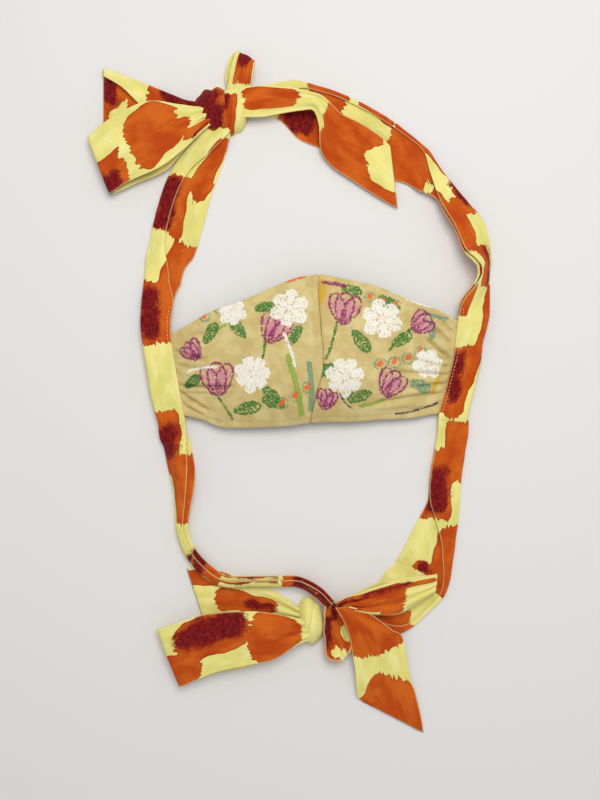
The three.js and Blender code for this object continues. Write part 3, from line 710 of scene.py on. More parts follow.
def strip_grid(table, place=by_mask, hidden=0):
    """The grid of a folded strip, with along and across in mm and the distance to a free edge."""
    rows, run = even_rows(table, place)
    seen = run <= run[-1] - hidden
    rows, run = rows[seen], run[seen]
    path, across = (np.array(part) for part in zip(*[strip_section(row) for row in rows]))
    origin = place(rows)
    face = np.radians(rows[:, 3])[:, None]
    x = origin[:, :1] + path[..., 0] * np.cos(face)
    y = origin[:, 1:] + path[..., 0] * np.sin(face)
    along = np.broadcast_to(run[:, None], across.shape).copy()
    edge = np.minimum(across - across[:, :1], across[:, -1:] - across)
    return np.stack([x, y, path[..., 1]], axis=-1), along, across, edge, rows


STITCH_INSET = 2.6  # mm from a strip's free edge to its line of stitches
STITCH_DENT = 0.7  # mm, how wide a line of stitches draws the cloth in


def cloth_half(edge, end):
    """Half the thickness of doubled cloth, rounded at its edges and drawn in along the stitches."""
    half = edge_round(edge, CLOTH / 2) * (1 - 0.3 * ridge(edge - STITCH_INSET, STITCH_DENT))
    half[0] = half[-1] = 0
    return half * np.clip(end / (CLOTH / 2), 0, 1) ** 0.5


def row_ends(along):
    return np.minimum(along - along[0], along[-1] - along)


SWAY = 0.38  # mm, the soft unevenness of a strip
WRINKLE = 0.2  # mm, its finer part
PUFF = 0.5  # mm that the upper leaf stands up inside its edges
PUFF_REACH = 12  # mm from the edge over which it does


def strip_cloth(name, node, table, seed, place=by_mask, hidden=0):
    """One folded strip. hidden: mm at its end that a knot would hide."""
    grid, along, across, edge, rows = strip_grid(table, place, hidden)
    normal = grid_normals(grid)
    upward = np.sign(normal[..., 2:] + 1e-6)
    loose = np.clip((rows[:, 5] - rows[:, 4])[:, None], 0, 1)
    sway = SWAY * ripple(along, across, seed, 26, 2.0) + WRINKLE * ripple(along, across, seed + 1, 8, 2.2)
    puff = PUFF * np.sin(np.pi * np.clip(edge / PUFF_REACH, 0, 1)) * (across > 0)
    grid = grid + normal * upward * (np.abs(sway) * (0.4 + 0.6 * loose) + puff)[..., None]
    fields = {"along": along, "across": across, **blotches(grid, along, across, CHARTS[name], folded=True)}
    fields["edge"] = np.minimum(edge, row_ends(along))
    obj = cloth_mesh(name, grid, cloth_half(edge, row_ends(along)), fields)
    finish_cloth(obj, node, strip_print, (STRIP_WIDTH, along[-1, 0]))
    return grid, edge


# %% [markdown]
# ## The bows' loops and tails
# A bow's band is the same strip, opened flat. It is wide at its end and gathered where it enters the
# knot, and what width it loses there goes into pleats. A loop is a band that turns back under itself.
# A simulation could tie a bow, but never this one, so each band follows a table and is then pleated.

# %% One band of a bow
BAND_EDGE = [0, 0.004, 0.01, 0.018, 0.03]
BAND_COLUMNS = np.concatenate([BAND_EDGE, np.linspace(0.05, 0.95, 34), [0.97, 0.982, 0.99, 0.996, 1]])
PLEAT_DEPTH = 2.1  # mm, where a band is gathered most
PLEAT_PHASE = 0.6
ARCH = 1.2  # mm that a band stands up along its middle, where it is open
BAND_SWAY = 0.45  # mm, the soft unevenness of a band
BAND_WRINKLE = 0.22  # mm, its finer part
TUCKED = 1.1  # the cut width is this much more than shows


def band_grid(knot, axis_degrees, reach, table, pleats, hidden):
    """The grid of a band, with along and across in mm and the distance to a free edge."""
    middle = knot_middle(knot)
    axis = math.radians(axis_degrees)

    def centre_of(rows):
        x, y = turned(rows[:, 0] * reach, rows[:, 1] * reach, axis_degrees)
        return np.column_stack([middle[0] + x, middle[1] + y, rows[:, 2] * KNOT_HEIGHT])

    rows, run = even_rows(table, centre_of)
    seen = (run >= hidden[0]) & (run <= run[-1] - hidden[1])
    rows, run = rows[seen], run[seen]
    heading = axis + math.pi / 2 + np.radians(rows[:, 3])
    rise = np.radians(rows[:, 4])
    left = np.column_stack([np.cos(heading) * np.cos(rise), np.sin(heading) * np.cos(rise), np.sin(rise)])
    width = rows[:, 5] * STRIP_WIDTH
    share = BAND_COLUMNS * 2 - 1
    grid = centre_of(rows)[:, None] + share[None, :, None] * left[:, None] * width[:, None, None] / 2
    along = np.broadcast_to(run[:, None], grid.shape[:2]).copy()
    across = np.broadcast_to(share * STRIP_WIDTH / 2, grid.shape[:2]).copy()
    gathered = np.clip(1 - rows[:, 5] / 0.95, 0, 1)[:, None] ** 1.3
    fold = np.cos(share[None] * math.pi * pleats + PLEAT_PHASE) * gathered * PLEAT_DEPTH
    arch = ARCH * (1 - share[None] ** 2) * (1 - gathered)
    grid[..., 2] += fold + arch * np.sign(grid_normals(grid)[..., 2] + 1e-6)
    edge = (1 - np.abs(share))[None] * width[:, None] / 2
    return grid, along, across, edge


def band_cloth(name, node, knot, axis, reach, table, seed, pleats, hidden):
    """One loop or tail of a bow. hidden: mm at its start and end that its knot would hide."""
    grid, along, across, edge = band_grid(knot, axis, reach, table, pleats, hidden)
    sway = BAND_SWAY * ripple(along, across, seed, 30, 1.8)
    sway = sway + BAND_WRINKLE * ripple(along, across, seed + 1, 9, 2.2)
    grid[..., 2] += sway * np.clip(edge / 4, 0.35, 1)
    grid[..., 2] = np.maximum(grid[..., 2], CLOTH / 2)
    fields = {"along": along, "across": across, **blotches(grid, along, across, CHARTS[name])}
    fields["edge"] = np.minimum(edge, row_ends(along))
    obj = cloth_mesh(name, grid, cloth_half(edge, row_ends(along)), fields)
    length = along[-1, 0] - along[0, 0]
    shown = sum(face.area for face in obj.data.polygons) / 2 / METRES**2 / length
    cut = min(STRIP_WIDTH, TUCKED * shown)  # what is folded away inside the knot isn't built
    finish_cloth(obj, node, strip_print, (cut, length))


# %% [markdown]
# ## Where the blotches lie
# The print has no repeat, so the blotches are charted one row each: its middle in the
# photograph's pixels, half its length along the strip, half its width across it, its turn in degrees
# and its colour, and for some a taper and how round its corners are. A yellow row opens a gap in the
# orange that is charted before it. top or under keeps a row to one leaf of a folded strip.

# %% The strips' charts
CHARTS = {}
CHARTS["tie_left"] = [
    (209, 170, 31, 9, 4, "orange", -0.3, 0.7),
    (202, 192, 12, 9, 0, "orange", 0.2, 0.7),
    (172, 207, 30, 17, 2, "orange", 0.0, 0.3),
    (166, 203, 27, 11, 2, "crimson", 0.1, 0.9),
    (166, 293, 56, 34, 0, "orange", 0.0, 0.3),
    (152, 255, 27, 13, -8, "yellow", 0.2, 0.4),
    (151, 312, 27, 11, 0, "crimson", -0.15, 0.9),
    (169, 443, 32, 13, 0, "orange", 0.1, 0.6),
    (171, 440, 18, 11, 0, "crimson", 0.2, 1.0),
    (188, 487, 32, 9, 0, "orange", 0.0, 0.4),
    (178, 500, 26, 5, 0, "orange"),
    (204, 552, 12, 8, 0, "crimson"),
    (212, 566, 16, 7, 0, "orange"),
    (246, 580, 34, 2, 0, "orange"),
    (258, 578, 20, 2, 0, "crimson"),
    (300, 576, 16, 4, 0, "orange"),
    (318, 584, 30, 9, 0, "orange"),
    (318, 584, 25, 7, 0, "crimson", -0.2, 0.8),
    (312, 590, 14, 2, 0, "yellow"),
]
CHARTS["tie_right"] = [
    (362, 132, 66, 44, 0, "orange", 0.0, 0.3),
    (300, 128, 24, 22, 0, "orange", 0.0, 0.4),
    (299, 124, 22, 14, 0, "crimson", 0.1, 0.9),
    (371, 121, 31, 14, 3, "yellow", 0.15, 0.3),
    (404, 146, 10, 2, 0, "yellow"),
    (378, 110, 20, 3, 0, "orange"),
    (406, 160, 27, 30, 0, "orange", 0.0, 0.3),
    (438, 176, 34, 34, 0, "orange", 0.0, 0.2),
    (441, 186, 21, 9, -6, "top yellow", 0.1, 0.3),
    (430, 170, 18, 5, 0, "top yellow"),
    (428, 188, 4, 6, 60, "under yellow"),
    (462, 227, 32, 18, 0, "orange", 0.0, 0.4),
    (480, 232, 20, 7, 4, "yellow", 0.0, 0.3),
    (464, 203, 16, 5, 0, "orange"),
    (459, 196, 15, 3, 0, "crimson"),
    (486, 268, 22, 7, 0, "orange"),
    (487, 266, 20, 5, 0, "crimson"),
    (464, 306, 17, 5, 0, "orange"),
    (488, 322, 34, 5, 0, "orange"),
    (457, 384, 35, 16, -3, "orange", 0.22, 0.5),
    (456, 378, 27, 7, -8, "crimson", 0.2, 1.0),
    (453, 472, 50, 26, 2, "orange", -0.15, 0.4),
    (437, 432, 17, 7, -14, "yellow", 0.3, 0.5),
    (438, 489, 25, 12, 0, "crimson", -0.15, 0.9),
    (459, 507, 22, 7, 0, "yellow", 0.0, 0.3),
    (448, 561, 37, 15, 4, "orange", 0.0, 0.9),
    (396, 616, 17, 15, 34, "orange", 0.0, 0.4),
    (422, 567, 9, 9, 20, "orange", 0.0, 0.5),
    (421, 569, 7, 7, 0, "crimson", 0.0, 0.8),
]

# %% The upper bow's charts
CHARTS["bow_front_loop"] = [
    (158, 133, 32, 26, 12, "orange", -0.15, 0.7),
    (186, 116, 9, 6, 20, "yellow"),
    (115, 180, 17, 18, 0, "orange", 0.0, 0.35),
    (126, 154, 5, 9, 0, "yellow"),
    (112, 188, 15, 12, -10, "crimson", 0.0, 1.0),
    (198, 132, 15, 8, -10, "orange", 0.0, 0.6),
    (203, 136, 8, 3, 0, "crimson"),
]
CHARTS["bow_back_loop"] = [
    (112, 102, 16, 30, 0, "under orange", 0.0, 0.4),
    (109, 90, 11, 17, 0, "under crimson"),
    (119, 115, 15, 8, 40, "under yellow"),
    (136, 100, 13, 9, 20, "under orange"),
    (174, 97, 27, 18, 0, "orange", 0.0, 0.3),
    (181, 100, 22, 14, 0, "crimson"),
]
CHARTS["bow_short_tail"] = [
    (243, 71, 18, 24, 0, "orange", 0.0, 0.3),
    (244, 60, 11, 18, 0, "crimson"),
    (229, 70, 9, 4, 0, "yellow"),
]
CHARTS["bow_long_tail"] = [
    (271, 100, 27, 22, 0, "orange", 0.0, 0.3),
    (268, 117, 24, 4, -4, "yellow"),
    (350, 146, 40, 44, 0, "orange", 0.0, 0.25),
    (319, 130, 5, 20, 0, "yellow", 0.0, 0.6),
    (385, 168, 21, 17, 34, "yellow", 0.0, 0.4),
    (384, 201, 24, 9, 8, "orange", 0.0, 0.4),
]
CHARTS["bow_knot_left"] = [
    (214, 112, 26, 16, 0, "orange"),
    (212, 110, 24, 13, 0, "crimson", 0.0, 1.0),
]
CHARTS["bow_knot_right"] = [
    (229, 113, 30, 11, 0, "orange", 0.0, 0.5),
    (224, 106, 13, 5, 0, "crimson"),
]

# %% The lower bow's charts
CHARTS["chin_front_loop"] = [
    (212, 632, 39, 21, 6, "orange", 0.1, 1.0),
    (212, 626, 36, 14, 5, "crimson", 0.1, 0.9),
    (277, 634, 27, 34, 0, "orange", 0.0, 0.9),
    (184, 668, 20, 16, -8, "orange", -0.2, 0.8),
]
CHARTS["chin_back_tail"] = [
    (208, 577, 18, 8, 4, "orange", 0.0, 0.4),
    (247, 601, 31, 13, 0, "orange", 0.0, 0.6),
    (262, 606, 16, 6, 0, "crimson"),
]
CHARTS["chin_side_loop"] = [
    (368, 604, 37, 32, 0, "orange", 0.1, 0.4),
    (350, 598, 18, 5, 0, "crimson"),
    (388, 584, 24, 4, 0, "crimson"),
    (416, 580, 18, 4, 0, "orange", 0.0, 0.6),
    (362, 612, 20, 2, 0, "yellow"),
]
CHARTS["chin_front_tail"] = [
    (364, 626, 31, 40, -14, "orange", 0.0, 0.3),
    (406, 720, 27, 48, -34, "orange", 0.0, 0.3),
]
CHARTS["chin_knot_wrap"] = []
CHARTS["chin_knot_open"] = [
    (338, 629, 40, 24, 0, "orange", 0.0, 0.2),
    (328, 630, 16, 7, 0, "crimson"),
    (333, 610, 12, 5, 0, "crimson"),
    (346, 632, 8, 5, 24, "yellow", 0.3, 1.0),
    (336, 649, 5, 4, 30, "yellow", 0.0, 1.0),
    (343, 653, 3, 8, -20, "yellow", 0.0, 1.0),
]
print("charted", sum(len(chart) for chart in CHARTS.values()), "blotches on", len(CHARTS), "pieces")

# %% Make the strips
left_grid, left_edge = strip_cloth("tie_left", "strip_left", LEFT_STRIP, 11)
right_grid, right_edge = strip_cloth("tie_right", "strip_right", RIGHT_STRIP, 23, hidden=22)
strip_cloth("bow_back_loop", "upper_loop_back", CROWN_LOOP_BACK, 31, by_upper_knot)

# %% Make the bands of the bows
# name, node, knot, axis in degrees, reach, table, seed, pleats and the mm hidden at each end
BOW_BANDS = [
    ("bow_front_loop", "upper_loop_front", CROWN_KNOT, -155.9, CROWN_LOOP, CROWN_LOOP_FRONT, 32, 3.2, (0, 0)),
    ("bow_short_tail", "upper_tail_short", CROWN_KNOT, 68.2, CROWN_STUB, CROWN_STUB_BAND, 33, 1.2, (0, 0)),
    ("bow_long_tail", "upper_tail_long", CROWN_KNOT, -28.1, CROWN_TAIL, CROWN_TAIL_BAND, 34, 1.6, (0, 0)),
    ("chin_back_tail", "lower_tail_back", NECK_KNOT, 168.3, NECK_BACK_TAIL, NECK_TAIL_BACK, 41, 3.2, (13, 0)),
    ("chin_front_loop", "lower_loop_front", NECK_KNOT, -169, NECK_LOOP, NECK_LOOP_FRONT, 42, 3.2, (13, 13)),
    ("chin_side_loop", "lower_loop_side", NECK_KNOT, 22.1, NECK_SIDE_LOOP, NECK_LOOP_SIDE, 43, 3.2, (10, 12)),
    ("chin_front_tail", "lower_tail_front", NECK_KNOT, -48.8, NECK_TAIL, NECK_TAIL_BAND, 44, 1.4, (0, 0)),
]
for band in BOW_BANDS:
    band_cloth(*band)

# %% [markdown]
# ## The knots
# A knot is the same cloth wrapped tightly over the bands. A ball would look like dough, so each wrap is
# a curved band over a core with pleats that follow it, and the lower knot's has one slanting crease.
# Below that knot a turn of the strip stands open, as a small hollow of cloth with a wavy rim.

# %% One wrap of a knot
WRAP_START = -8  # degrees, a little below level, so that a wrap tucks in under its bands
PLEAT_SINK = 0.05  # share of the radius
CREASE_WIDTH = 0.15  # share of half the width
SOFTNESS = 0.3  # mm, its unevenness
ROLLED_EDGE = 0.8  # mm, half the thickness at its rolled edges


def knot_wrap(name, node, middle, radii, reach, turn, seed, pleats=3, groove=0.0):
    """A band over a knot: radii in mm (across it, along it, up), reach: what share of the width it spans.

    groove is the depth, as a share of the radius, of one crease that runs across it at a slant."""
    rx, ry, rz = radii
    s = BAND_COLUMNS * 2 - 1
    t = np.radians(np.linspace(WRAP_START, 180 - WRAP_START, 64))[:, None]
    x_share = reach[0] + (reach[1] - reach[0]) * BAND_COLUMNS
    round_off = np.sqrt(np.clip(1 - np.abs(x_share) ** 2.6, 0.04, 1))
    sag = 1 + PLEAT_SINK * np.cos(s * math.pi * pleats + seed)
    sag = sag[None] - groove * ridge(s[None] - (0.7 * np.cos(t) - 0.08), CREASE_WIDTH)
    x, y = turned(rx * x_share, ry * round_off[None] * sag * np.cos(t), turn)
    z = np.maximum(rz * round_off[None] * sag * np.sin(t), CLOTH / 2)
    mx, my = plan(*middle)
    grid = np.stack([mx + x, my + y, z], axis=-1)
    wide = rx * (reach[1] - reach[0])
    along = np.broadcast_to(run_along(grid[:, 20])[:, None], z.shape).copy()
    across = np.broadcast_to(s * wide / 2, z.shape).copy()
    grid = grid + grid_normals(grid) * SOFTNESS * ripple(along, across, seed, 12, 2.5)[..., None]
    edge = (1 - np.abs(s))[None] * wide / 2 * np.ones_like(z)
    fields = {"along": along, "across": across, "edge": edge, **blotches(grid, along, across, CHARTS[name])}
    half = edge_round(edge, ROLLED_EDGE) * np.clip(row_ends(along) / ROLLED_EDGE, 0, 1) ** 0.5
    obj = cloth_mesh(name, grid, half, fields)
    finish_cloth(obj, node, strip_print, (wide, along[-1, 0]))


# %% The open fold of the lower knot
FOLD_EDGE = [0, 0.004, 0.012, 0.025]
FOLD_STEPS = np.concatenate([FOLD_EDGE, np.linspace(0.045, 0.955, 40), [0.975, 0.988, 0.996, 1]]) * 2 - 1
FOLD_ROLL = 0.9  # mm, half the thickness of its rolled rim
FOLD_WAVES = 1.2  # mm, the height of the waves between its middle and its rim


def open_fold(name, middle, radii, rim, floor, seed):
    """A hollow of cloth with a wavy rim: half width and half length, and how high its rim and floor are."""
    rx, ry = radii
    # out runs from 0 at the middle to 1 at the rim
    b, a = np.meshgrid(FOLD_STEPS, FOLD_STEPS)
    out, angle = np.maximum(np.abs(a), np.abs(b)), np.arctan2(b, a)
    waver = 1 + 0.06 * np.sin(3 * angle + seed) + 0.035 * np.sin(7 * angle)
    mx, my = plan(*middle)
    x = mx + rx * waver * b * np.sqrt(1 - 0.4 * a**2)
    y = my - ry * waver * a * np.sqrt(1 - 0.4 * b**2)
    z = floor + (rim - floor) * out**2.4 * (1 + 0.14 * np.sin(2 * angle + 1.0))
    z = z + FOLD_WAVES * np.sin(x * 0.8 + 0.3 * y + seed) * out * (1 - out) * 4
    grid = np.stack([x, y, z], axis=-1)
    along, across = my - y, x - mx
    edge = (1 - out) * rx
    fields = {"along": along, "across": across, "edge": edge, **blotches(grid, along, across, CHARTS[name])}
    obj = cloth_mesh(name, grid, edge_round(edge, FOLD_ROLL), fields)
    finish_cloth(obj, None, strip_print, (2 * rx, 2 * ry))


# %% Make the knots
# name, node, middle in pixels, radii, reach, turn, seed, and for the last one its pleats and its crease
knot_wrap("bow_knot_left", "upper_knot", (216, 112), (15.5, 16.5, 15), (-0.92, 0.9), 12, 3)
knot_wrap("bow_knot_right", None, (233, 113), (12, 17, 14), (-0.9, 0.92), -8, 5)
knot_wrap("chin_knot_wrap", "lower_knot", (311, 621), (9.5, 17.5, 13.5), (-0.92, 0.9), 8, 7, 1.3, 0.1)
open_fold("chin_knot_open", (338, 629), (12, 23.5), rim=10.5, floor=3.5, seed=9)

# %% [markdown]
# ## The mask's body
# Two panels of doubled cotton meet in a curved seam, which gives the dome. The sides are gathered and
# held between the strips' leaves. A sculpted dome would lose the directions of the threads, so each
# panel is a fine grid between its strip and the seam, and its gathers, hem and seam are moves of that
# grid along its own normal.

# %% Panel grids
INNER_COLUMNS, INNER_ROWS = np.linspace(0.02, 0.98, 124), np.linspace(0.02, 0.98, 134)
PANEL_ACROSS = np.concatenate([[0, 0.002, 0.006, 0.012], INNER_COLUMNS, [0.988, 0.994, 0.998, 1]])
PANEL_UP = np.concatenate([[0, 0.003, 0.007, 0.012], INNER_ROWS, [0.988, 0.993, 0.997, 1]])
HELD_UP = 1.2  # how far up and down the strip's rows are read, in half heights of the mask


def column(table, at, k):
    fine = smooth(table, steps=12)
    return np.interp(at, fine[:, 0], fine[:, k])


def panel_grid(table, strip_table, side):
    """Points of a panel: rows from the chin up, columns from inside the strip to the seam."""
    strip_rows, _ = even_rows(strip_table, by_mask, 1.0)
    held = strip_rows[np.abs(strip_rows[:, 1]) < HELD_UP][::-1]
    bottom, top = table[0][2], table[0][1]
    ups = bottom + (top - bottom) * PANEL_UP
    rows = np.column_stack([np.interp(ups, held[:, 1], held[:, k]) for k in range(9)])
    seat_share = SEAT / MASK_HALF_WIDTH
    u = (PANEL_ACROSS - seat_share) / (1 - seat_share)
    seam_up = -1 + (table[-1][1] + 1) * PANEL_UP
    seam_x = column(SEAM, seam_up, 1) * MASK_HALF_WIDTH + side * GAP / 2
    seam_z = column(SEAM, seam_up, 2) * MASK_RISE
    inside = np.clip(u, 0, 1)
    within = u < 0
    depth = (-u[within] / seat_share * (1 - seat_share) * SEAT)[:, None]
    top_at, bottom_at, rise = (column(table, inside, k) for k in (1, 2, 3))
    grid = np.zeros((len(ups), len(u), 3))
    for i, row in enumerate(rows):
        path, _ = strip_section(row)
        mouth = (path[0] + path[-1]) / 2
        deep = (path[6] + path[-7]) / 2
        face = math.radians(row[3])
        origin = np.array([row[0] * MASK_HALF_WIDTH, float(up_mm(row[1]))])
        direction = np.array([math.cos(face), math.sin(face)])
        edge = origin + direction * mouth[0]
        free = (bottom_at + (top_at - bottom_at) * PANEL_UP[i]) * MASK_HALF_HEIGHT
        gathered = edge[1] + free - ups[i] * MASK_HALF_HEIGHT
        grid[i, :, 0] = edge[0] + (seam_x[i] - edge[0]) * inside
        grid[i, :, 1] = gathered + (free - gathered) * np.minimum(1, inside * 3)
        grid[i, :, 2] = mouth[1] + (max(mouth[1], seam_z[i]) - mouth[1]) * rise
        slope = (deep[1] - mouth[1]) / max(1e-6, mouth[0] - deep[0])
        grid[i, within, :2] = edge - direction * depth
        grid[i, within, 2] = mouth[1] + slope * depth[:, 0]
    return grid, u


# %% Creases, gathers, hem and seam
def crease(grid, start, end, depth, width, soft=0.25):
    """How deep a crease drawn from start to end in the photograph's pixels presses a grid, in mm."""
    a, b = np.array(plan(*start)), np.array(plan(*end))
    along = b - a
    length = np.linalg.norm(along)
    rel = grid[..., :2] - a
    t = rel @ along / length**2
    off = np.abs(rel @ np.array([-along[1], along[0]]) / length)
    fade = np.clip((t + soft) / soft, 0, 1) * np.clip((1 + soft - t) / soft, 0, 1)
    return depth * fade * (ridge(off, width) - 0.45 * ridge(off - 2 * width, width))


# start and end in the photograph's pixels, and depth and width in mm
LEFT_CREASES = [
    ((172, 352), (202, 360), 2.1, 1.6),
    ((174, 366), (205, 372), 1.4, 1.8),
    ((178, 387), (226, 388), 2.4, 1.5),
    ((180, 393), (204, 408), 2.1, 1.6),
    ((181, 404), (200, 414), 1.4, 1.6),
    ((172, 341), (205, 336), 1.2, 2.0),
]
RIGHT_CREASES = [
    ((456, 366), (428, 343), 2.7, 1.5),
    ((457, 352), (436, 333), 2.1, 1.5),
    ((455, 371), (412, 362), 1.9, 1.6),
    ((452, 377), (398, 374), 2.0, 1.9),
    ((449, 384), (418, 388), 1.6, 1.5),
    ((446, 394), (384, 402), 1.9, 2.0),
    ((457, 341), (438, 322), 1.5, 1.6),
    ((447, 404), (414, 412), 1.4, 1.8),
]
HEM = 8.5  # mm from the top edge to the hem's line, at the middle of the mask
CHIN_STITCH = 3.8  # mm from the bottom edge to its line of stitches
STITCH_DEPTH = 0.45  # mm that the hem's stitches press in
HEM_RISE = 0.25  # mm that the folded hem above them stands up
CHIN_DEPTH = 0.3  # mm that the stitches at the chin press in
SEAM_DEPTH, SEAM_RISE = 0.9, 0.35  # mm: the seam's groove, and the ridge that the cloth inside it raises
GATHER = 0.5  # mm, the height of the gathers and of the wide swells
SWELL = 0.18  # mm, the height of the small swells
HELD = 0.05  # share of a panel's width, beside its strip, in which it comes free
SIZE_ROW, SIZE_COLUMN = 70, 90  # where a panel's flat size is measured


def panel_moves(grid, u, creases, seed):
    """How far each point of a panel moves out along its normal in mm, and its distance to an edge."""
    x, y = grid[..., 0], grid[..., 1]
    inside = np.clip(u, 0, 1)[None]
    free = np.clip(u / HELD, 0, 1)[None]
    from_top, from_chin, from_seam = np.abs(y[-1:] - y), np.abs(y - y[:1]), np.abs(x[:, -1:] - x)
    hem = HEM * (0.35 + 0.65 * inside)
    move = sum(-crease(grid, *line) for line in creases) * free
    # gathers fan out from the strip and fade, and swells of two sizes lie all over
    move = move + GATHER * np.exp(-inside / 0.16) * free * np.sin(y * 0.95 + 1.5 * np.sin(y * 0.21 + seed))
    move = move + GATHER * ripple(x, y, seed, 46) * free
    move = move + SWELL * ripple(x, y, seed + 1, 15) * free
    # the hem and its stitches, those at the chin, and the seam
    move = move - STITCH_DEPTH * ridge(from_top - hem, STITCH_DENT) * free
    move = move + HEM_RISE * np.clip((hem - from_top) / 1.5, 0, 1) * free
    move = move - CHIN_DEPTH * ridge(from_chin - CHIN_STITCH, STITCH_DENT) * free
    move = move - SEAM_DEPTH * ridge(from_seam, 1.1) + SEAM_RISE * ridge(from_seam - 3.2, 1.8)
    side_edge = np.abs(u - u[0])[None] * MASK_HALF_WIDTH
    return move, np.minimum(np.minimum(from_top, from_chin), np.minimum(side_edge, from_seam))


def panel_cloth(name, node, table, strip_table, side, creases, motifs, seed):
    """One panel with its print. side is -1 for left and 1 for right."""
    grid, u = panel_grid(table, strip_table, side)
    normal = grid_normals(grid)
    normal = normal * np.sign(normal[..., 2:].mean())
    move, edge = panel_moves(grid, u, creases, seed)
    grid = grid + normal * move[..., None]
    half = edge_round(edge, CLOTH / 2)
    half[[0, -1]] = 0
    half[:, [0, -1]] = 0
    fields = {"along": grid[..., 0], "across": grid[..., 1], **inks(grid, motifs)}
    if grid_normals(grid)[..., 2].mean() < 0:
        grid, half = grid[:, ::-1], half[:, ::-1]
        fields = {key: value[:, ::-1] for key, value in fields.items()}
    obj = cloth_mesh(name, grid, half, fields)
    wide = np.linalg.norm(np.diff(grid[SIZE_ROW], axis=0), axis=1).sum()
    tall = np.linalg.norm(np.diff(grid[:, SIZE_COLUMN], axis=0), axis=1).sum()
    finish_cloth(obj, node, mask_print, (wide, tall))
    return grid


# %% [markdown]
# ## A crayon flower print for the body
# The body is tan cotton with a plain print in crayon strokes. It could be painted as an image, but a
# few rules draw it and stay sharp: a blossom is petals round a centre, a tulip is three petals on a
# stem, and a leaf is an outline with hatching. Each ink is kept on the cloth as the distance in mm to
# its strokes, as the blotches are.

# %% Strokes
INKS = ("ochre", "sage", "lime", "green", "pink", "coral", "magenta", "white", "navy")
INK_FAR = 5.0  # mm, the distance where there is no stroke


def bend(x, y, length, turn, curve=0.0, steps=7):
    """A stroke from x, y that sets off at turn degrees and curves by curve degrees on its way."""
    points = [(x, y)]
    for k in range(steps):
        angle = math.radians(turn + curve * (k + 0.5) / steps)
        x, y = x + length / steps * math.cos(angle), y + length / steps * math.sin(angle)
        points.append((x, y))
    return points


def petal(x, y, length, width, turn):
    """The closed outline of a petal or leaf that points at turn degrees."""
    c, s = math.cos(math.radians(turn)), math.sin(math.radians(turn))
    t = np.linspace(0, 2 * math.pi, 19)
    out = length * (1 - np.cos(t)) / 2
    off = width / 2 * np.sin(t) * (0.75 + 0.35 * (1 - np.cos(t)) / 2)
    return [(x + o * c - f * s, y + o * s + f * c) for o, f in zip(out, off)]


def along_from(x, y, distance, turn):
    """The point at a distance from x, y, in the direction turn in degrees."""
    return x + distance * math.cos(math.radians(turn)), y + distance * math.sin(math.radians(turn))


def leaf(x, y, length, width, turn, ink="green"):
    """Strokes of a hatched leaf. A stroke is its ink, its line and half its width in mm."""
    strokes = [(ink, petal(x, y, length, width, turn), 0.8), (ink, bend(x, y, length * 0.9, turn, 12), 0.7)]
    for k in range(1, 6):
        share = k / 6.5
        vein = along_from(x, y, length * share, turn)
        reach = width * 0.42 * math.sin(math.pi * share)
        strokes += [(ink, bend(*vein, reach, turn + side * 48), 0.9) for side in (-1, 1)]
    return strokes


def blossom(x, y, r, petals, turn, ink="white", heart="coral"):
    strokes = []
    for k in range(petals):
        angle = turn + 360 * k / petals
        wide = r * 2.6 / petals
        strokes.append((ink, petal(x, y, r * (0.92 + 0.12 * math.sin(3 * k)), wide * 1.5, angle), 0.75))
        for off in (-14, -5, 5, 14):
            start = along_from(x, y, r * 0.3, angle + off)
            strokes.append((ink, bend(*start, r * 0.58, angle + off * 0.6, off), 0.85))
    for k in range(7):
        strokes.append((heart, bend(x, y, r * (0.12 + 0.05 * (k % 3)), 51 * k, 40, 3), 0.8))
    return strokes


def tulip(x, y, size, turn):
    strokes = []
    for off, wide in ((-24, 0.5), (24, 0.5), (0, 0.62)):
        strokes.append(("magenta", petal(x, y, size, size * wide, turn + off), 0.75))
        for k in (-9, 0, 9):
            start = along_from(x, y, size * 0.22, turn + off + k)
            strokes.append(("pink", bend(*start, size * 0.6, turn + off + k, k), 1.1))
    strokes.append(("magenta", bend(x, y, size * 0.55, turn + 8, -16), 0.6))
    return strokes


def seeds(x, y, length, turn, curve, count, size=1.7):
    """A spray of coral seeds with a sage ring round each."""
    strokes = []
    for px, py in bend(x, y, length, turn, curve, count)[1:]:
        strokes.append(("coral", bend(px - size * 0.5, py, size, 15, 60, 3), size * 0.8))
        around = np.linspace(0.4, 6.0, 10)
        ring = [(px + size * 2.1 * math.cos(a), py + size * 1.8 * math.sin(a)) for a in around]
        strokes.append(("sage", ring, 0.55))
    return strokes


# %% The panels' motifs, in mm from the middle of the mask
LEFT_LEAVES = (
    (-83, 4, 17, 8, 60), (-52, 8, 17, 8, 128), (-60, -48, 20, 9, 12), (-38, -30, 16, 7, -40),
    (-98, -30, 14, 7, 40), (-18, 2, 16, 7, 60), (-22, -44, 17, 8, 160), (-44, 30, 15, 7, 8),
)
RIGHT_LEAVES = (
    (18, -14, 17, 8, 200), (30, 12, 19, 9, -50), (60, 2, 17, 8, 30), (66, 30, 18, 8, 152),
    (74, -26, 17, 8, -18), (44, -34, 18, 8, 196), (92, 8, 14, 7, 100), (22, 46, 15, 7, -14),
)


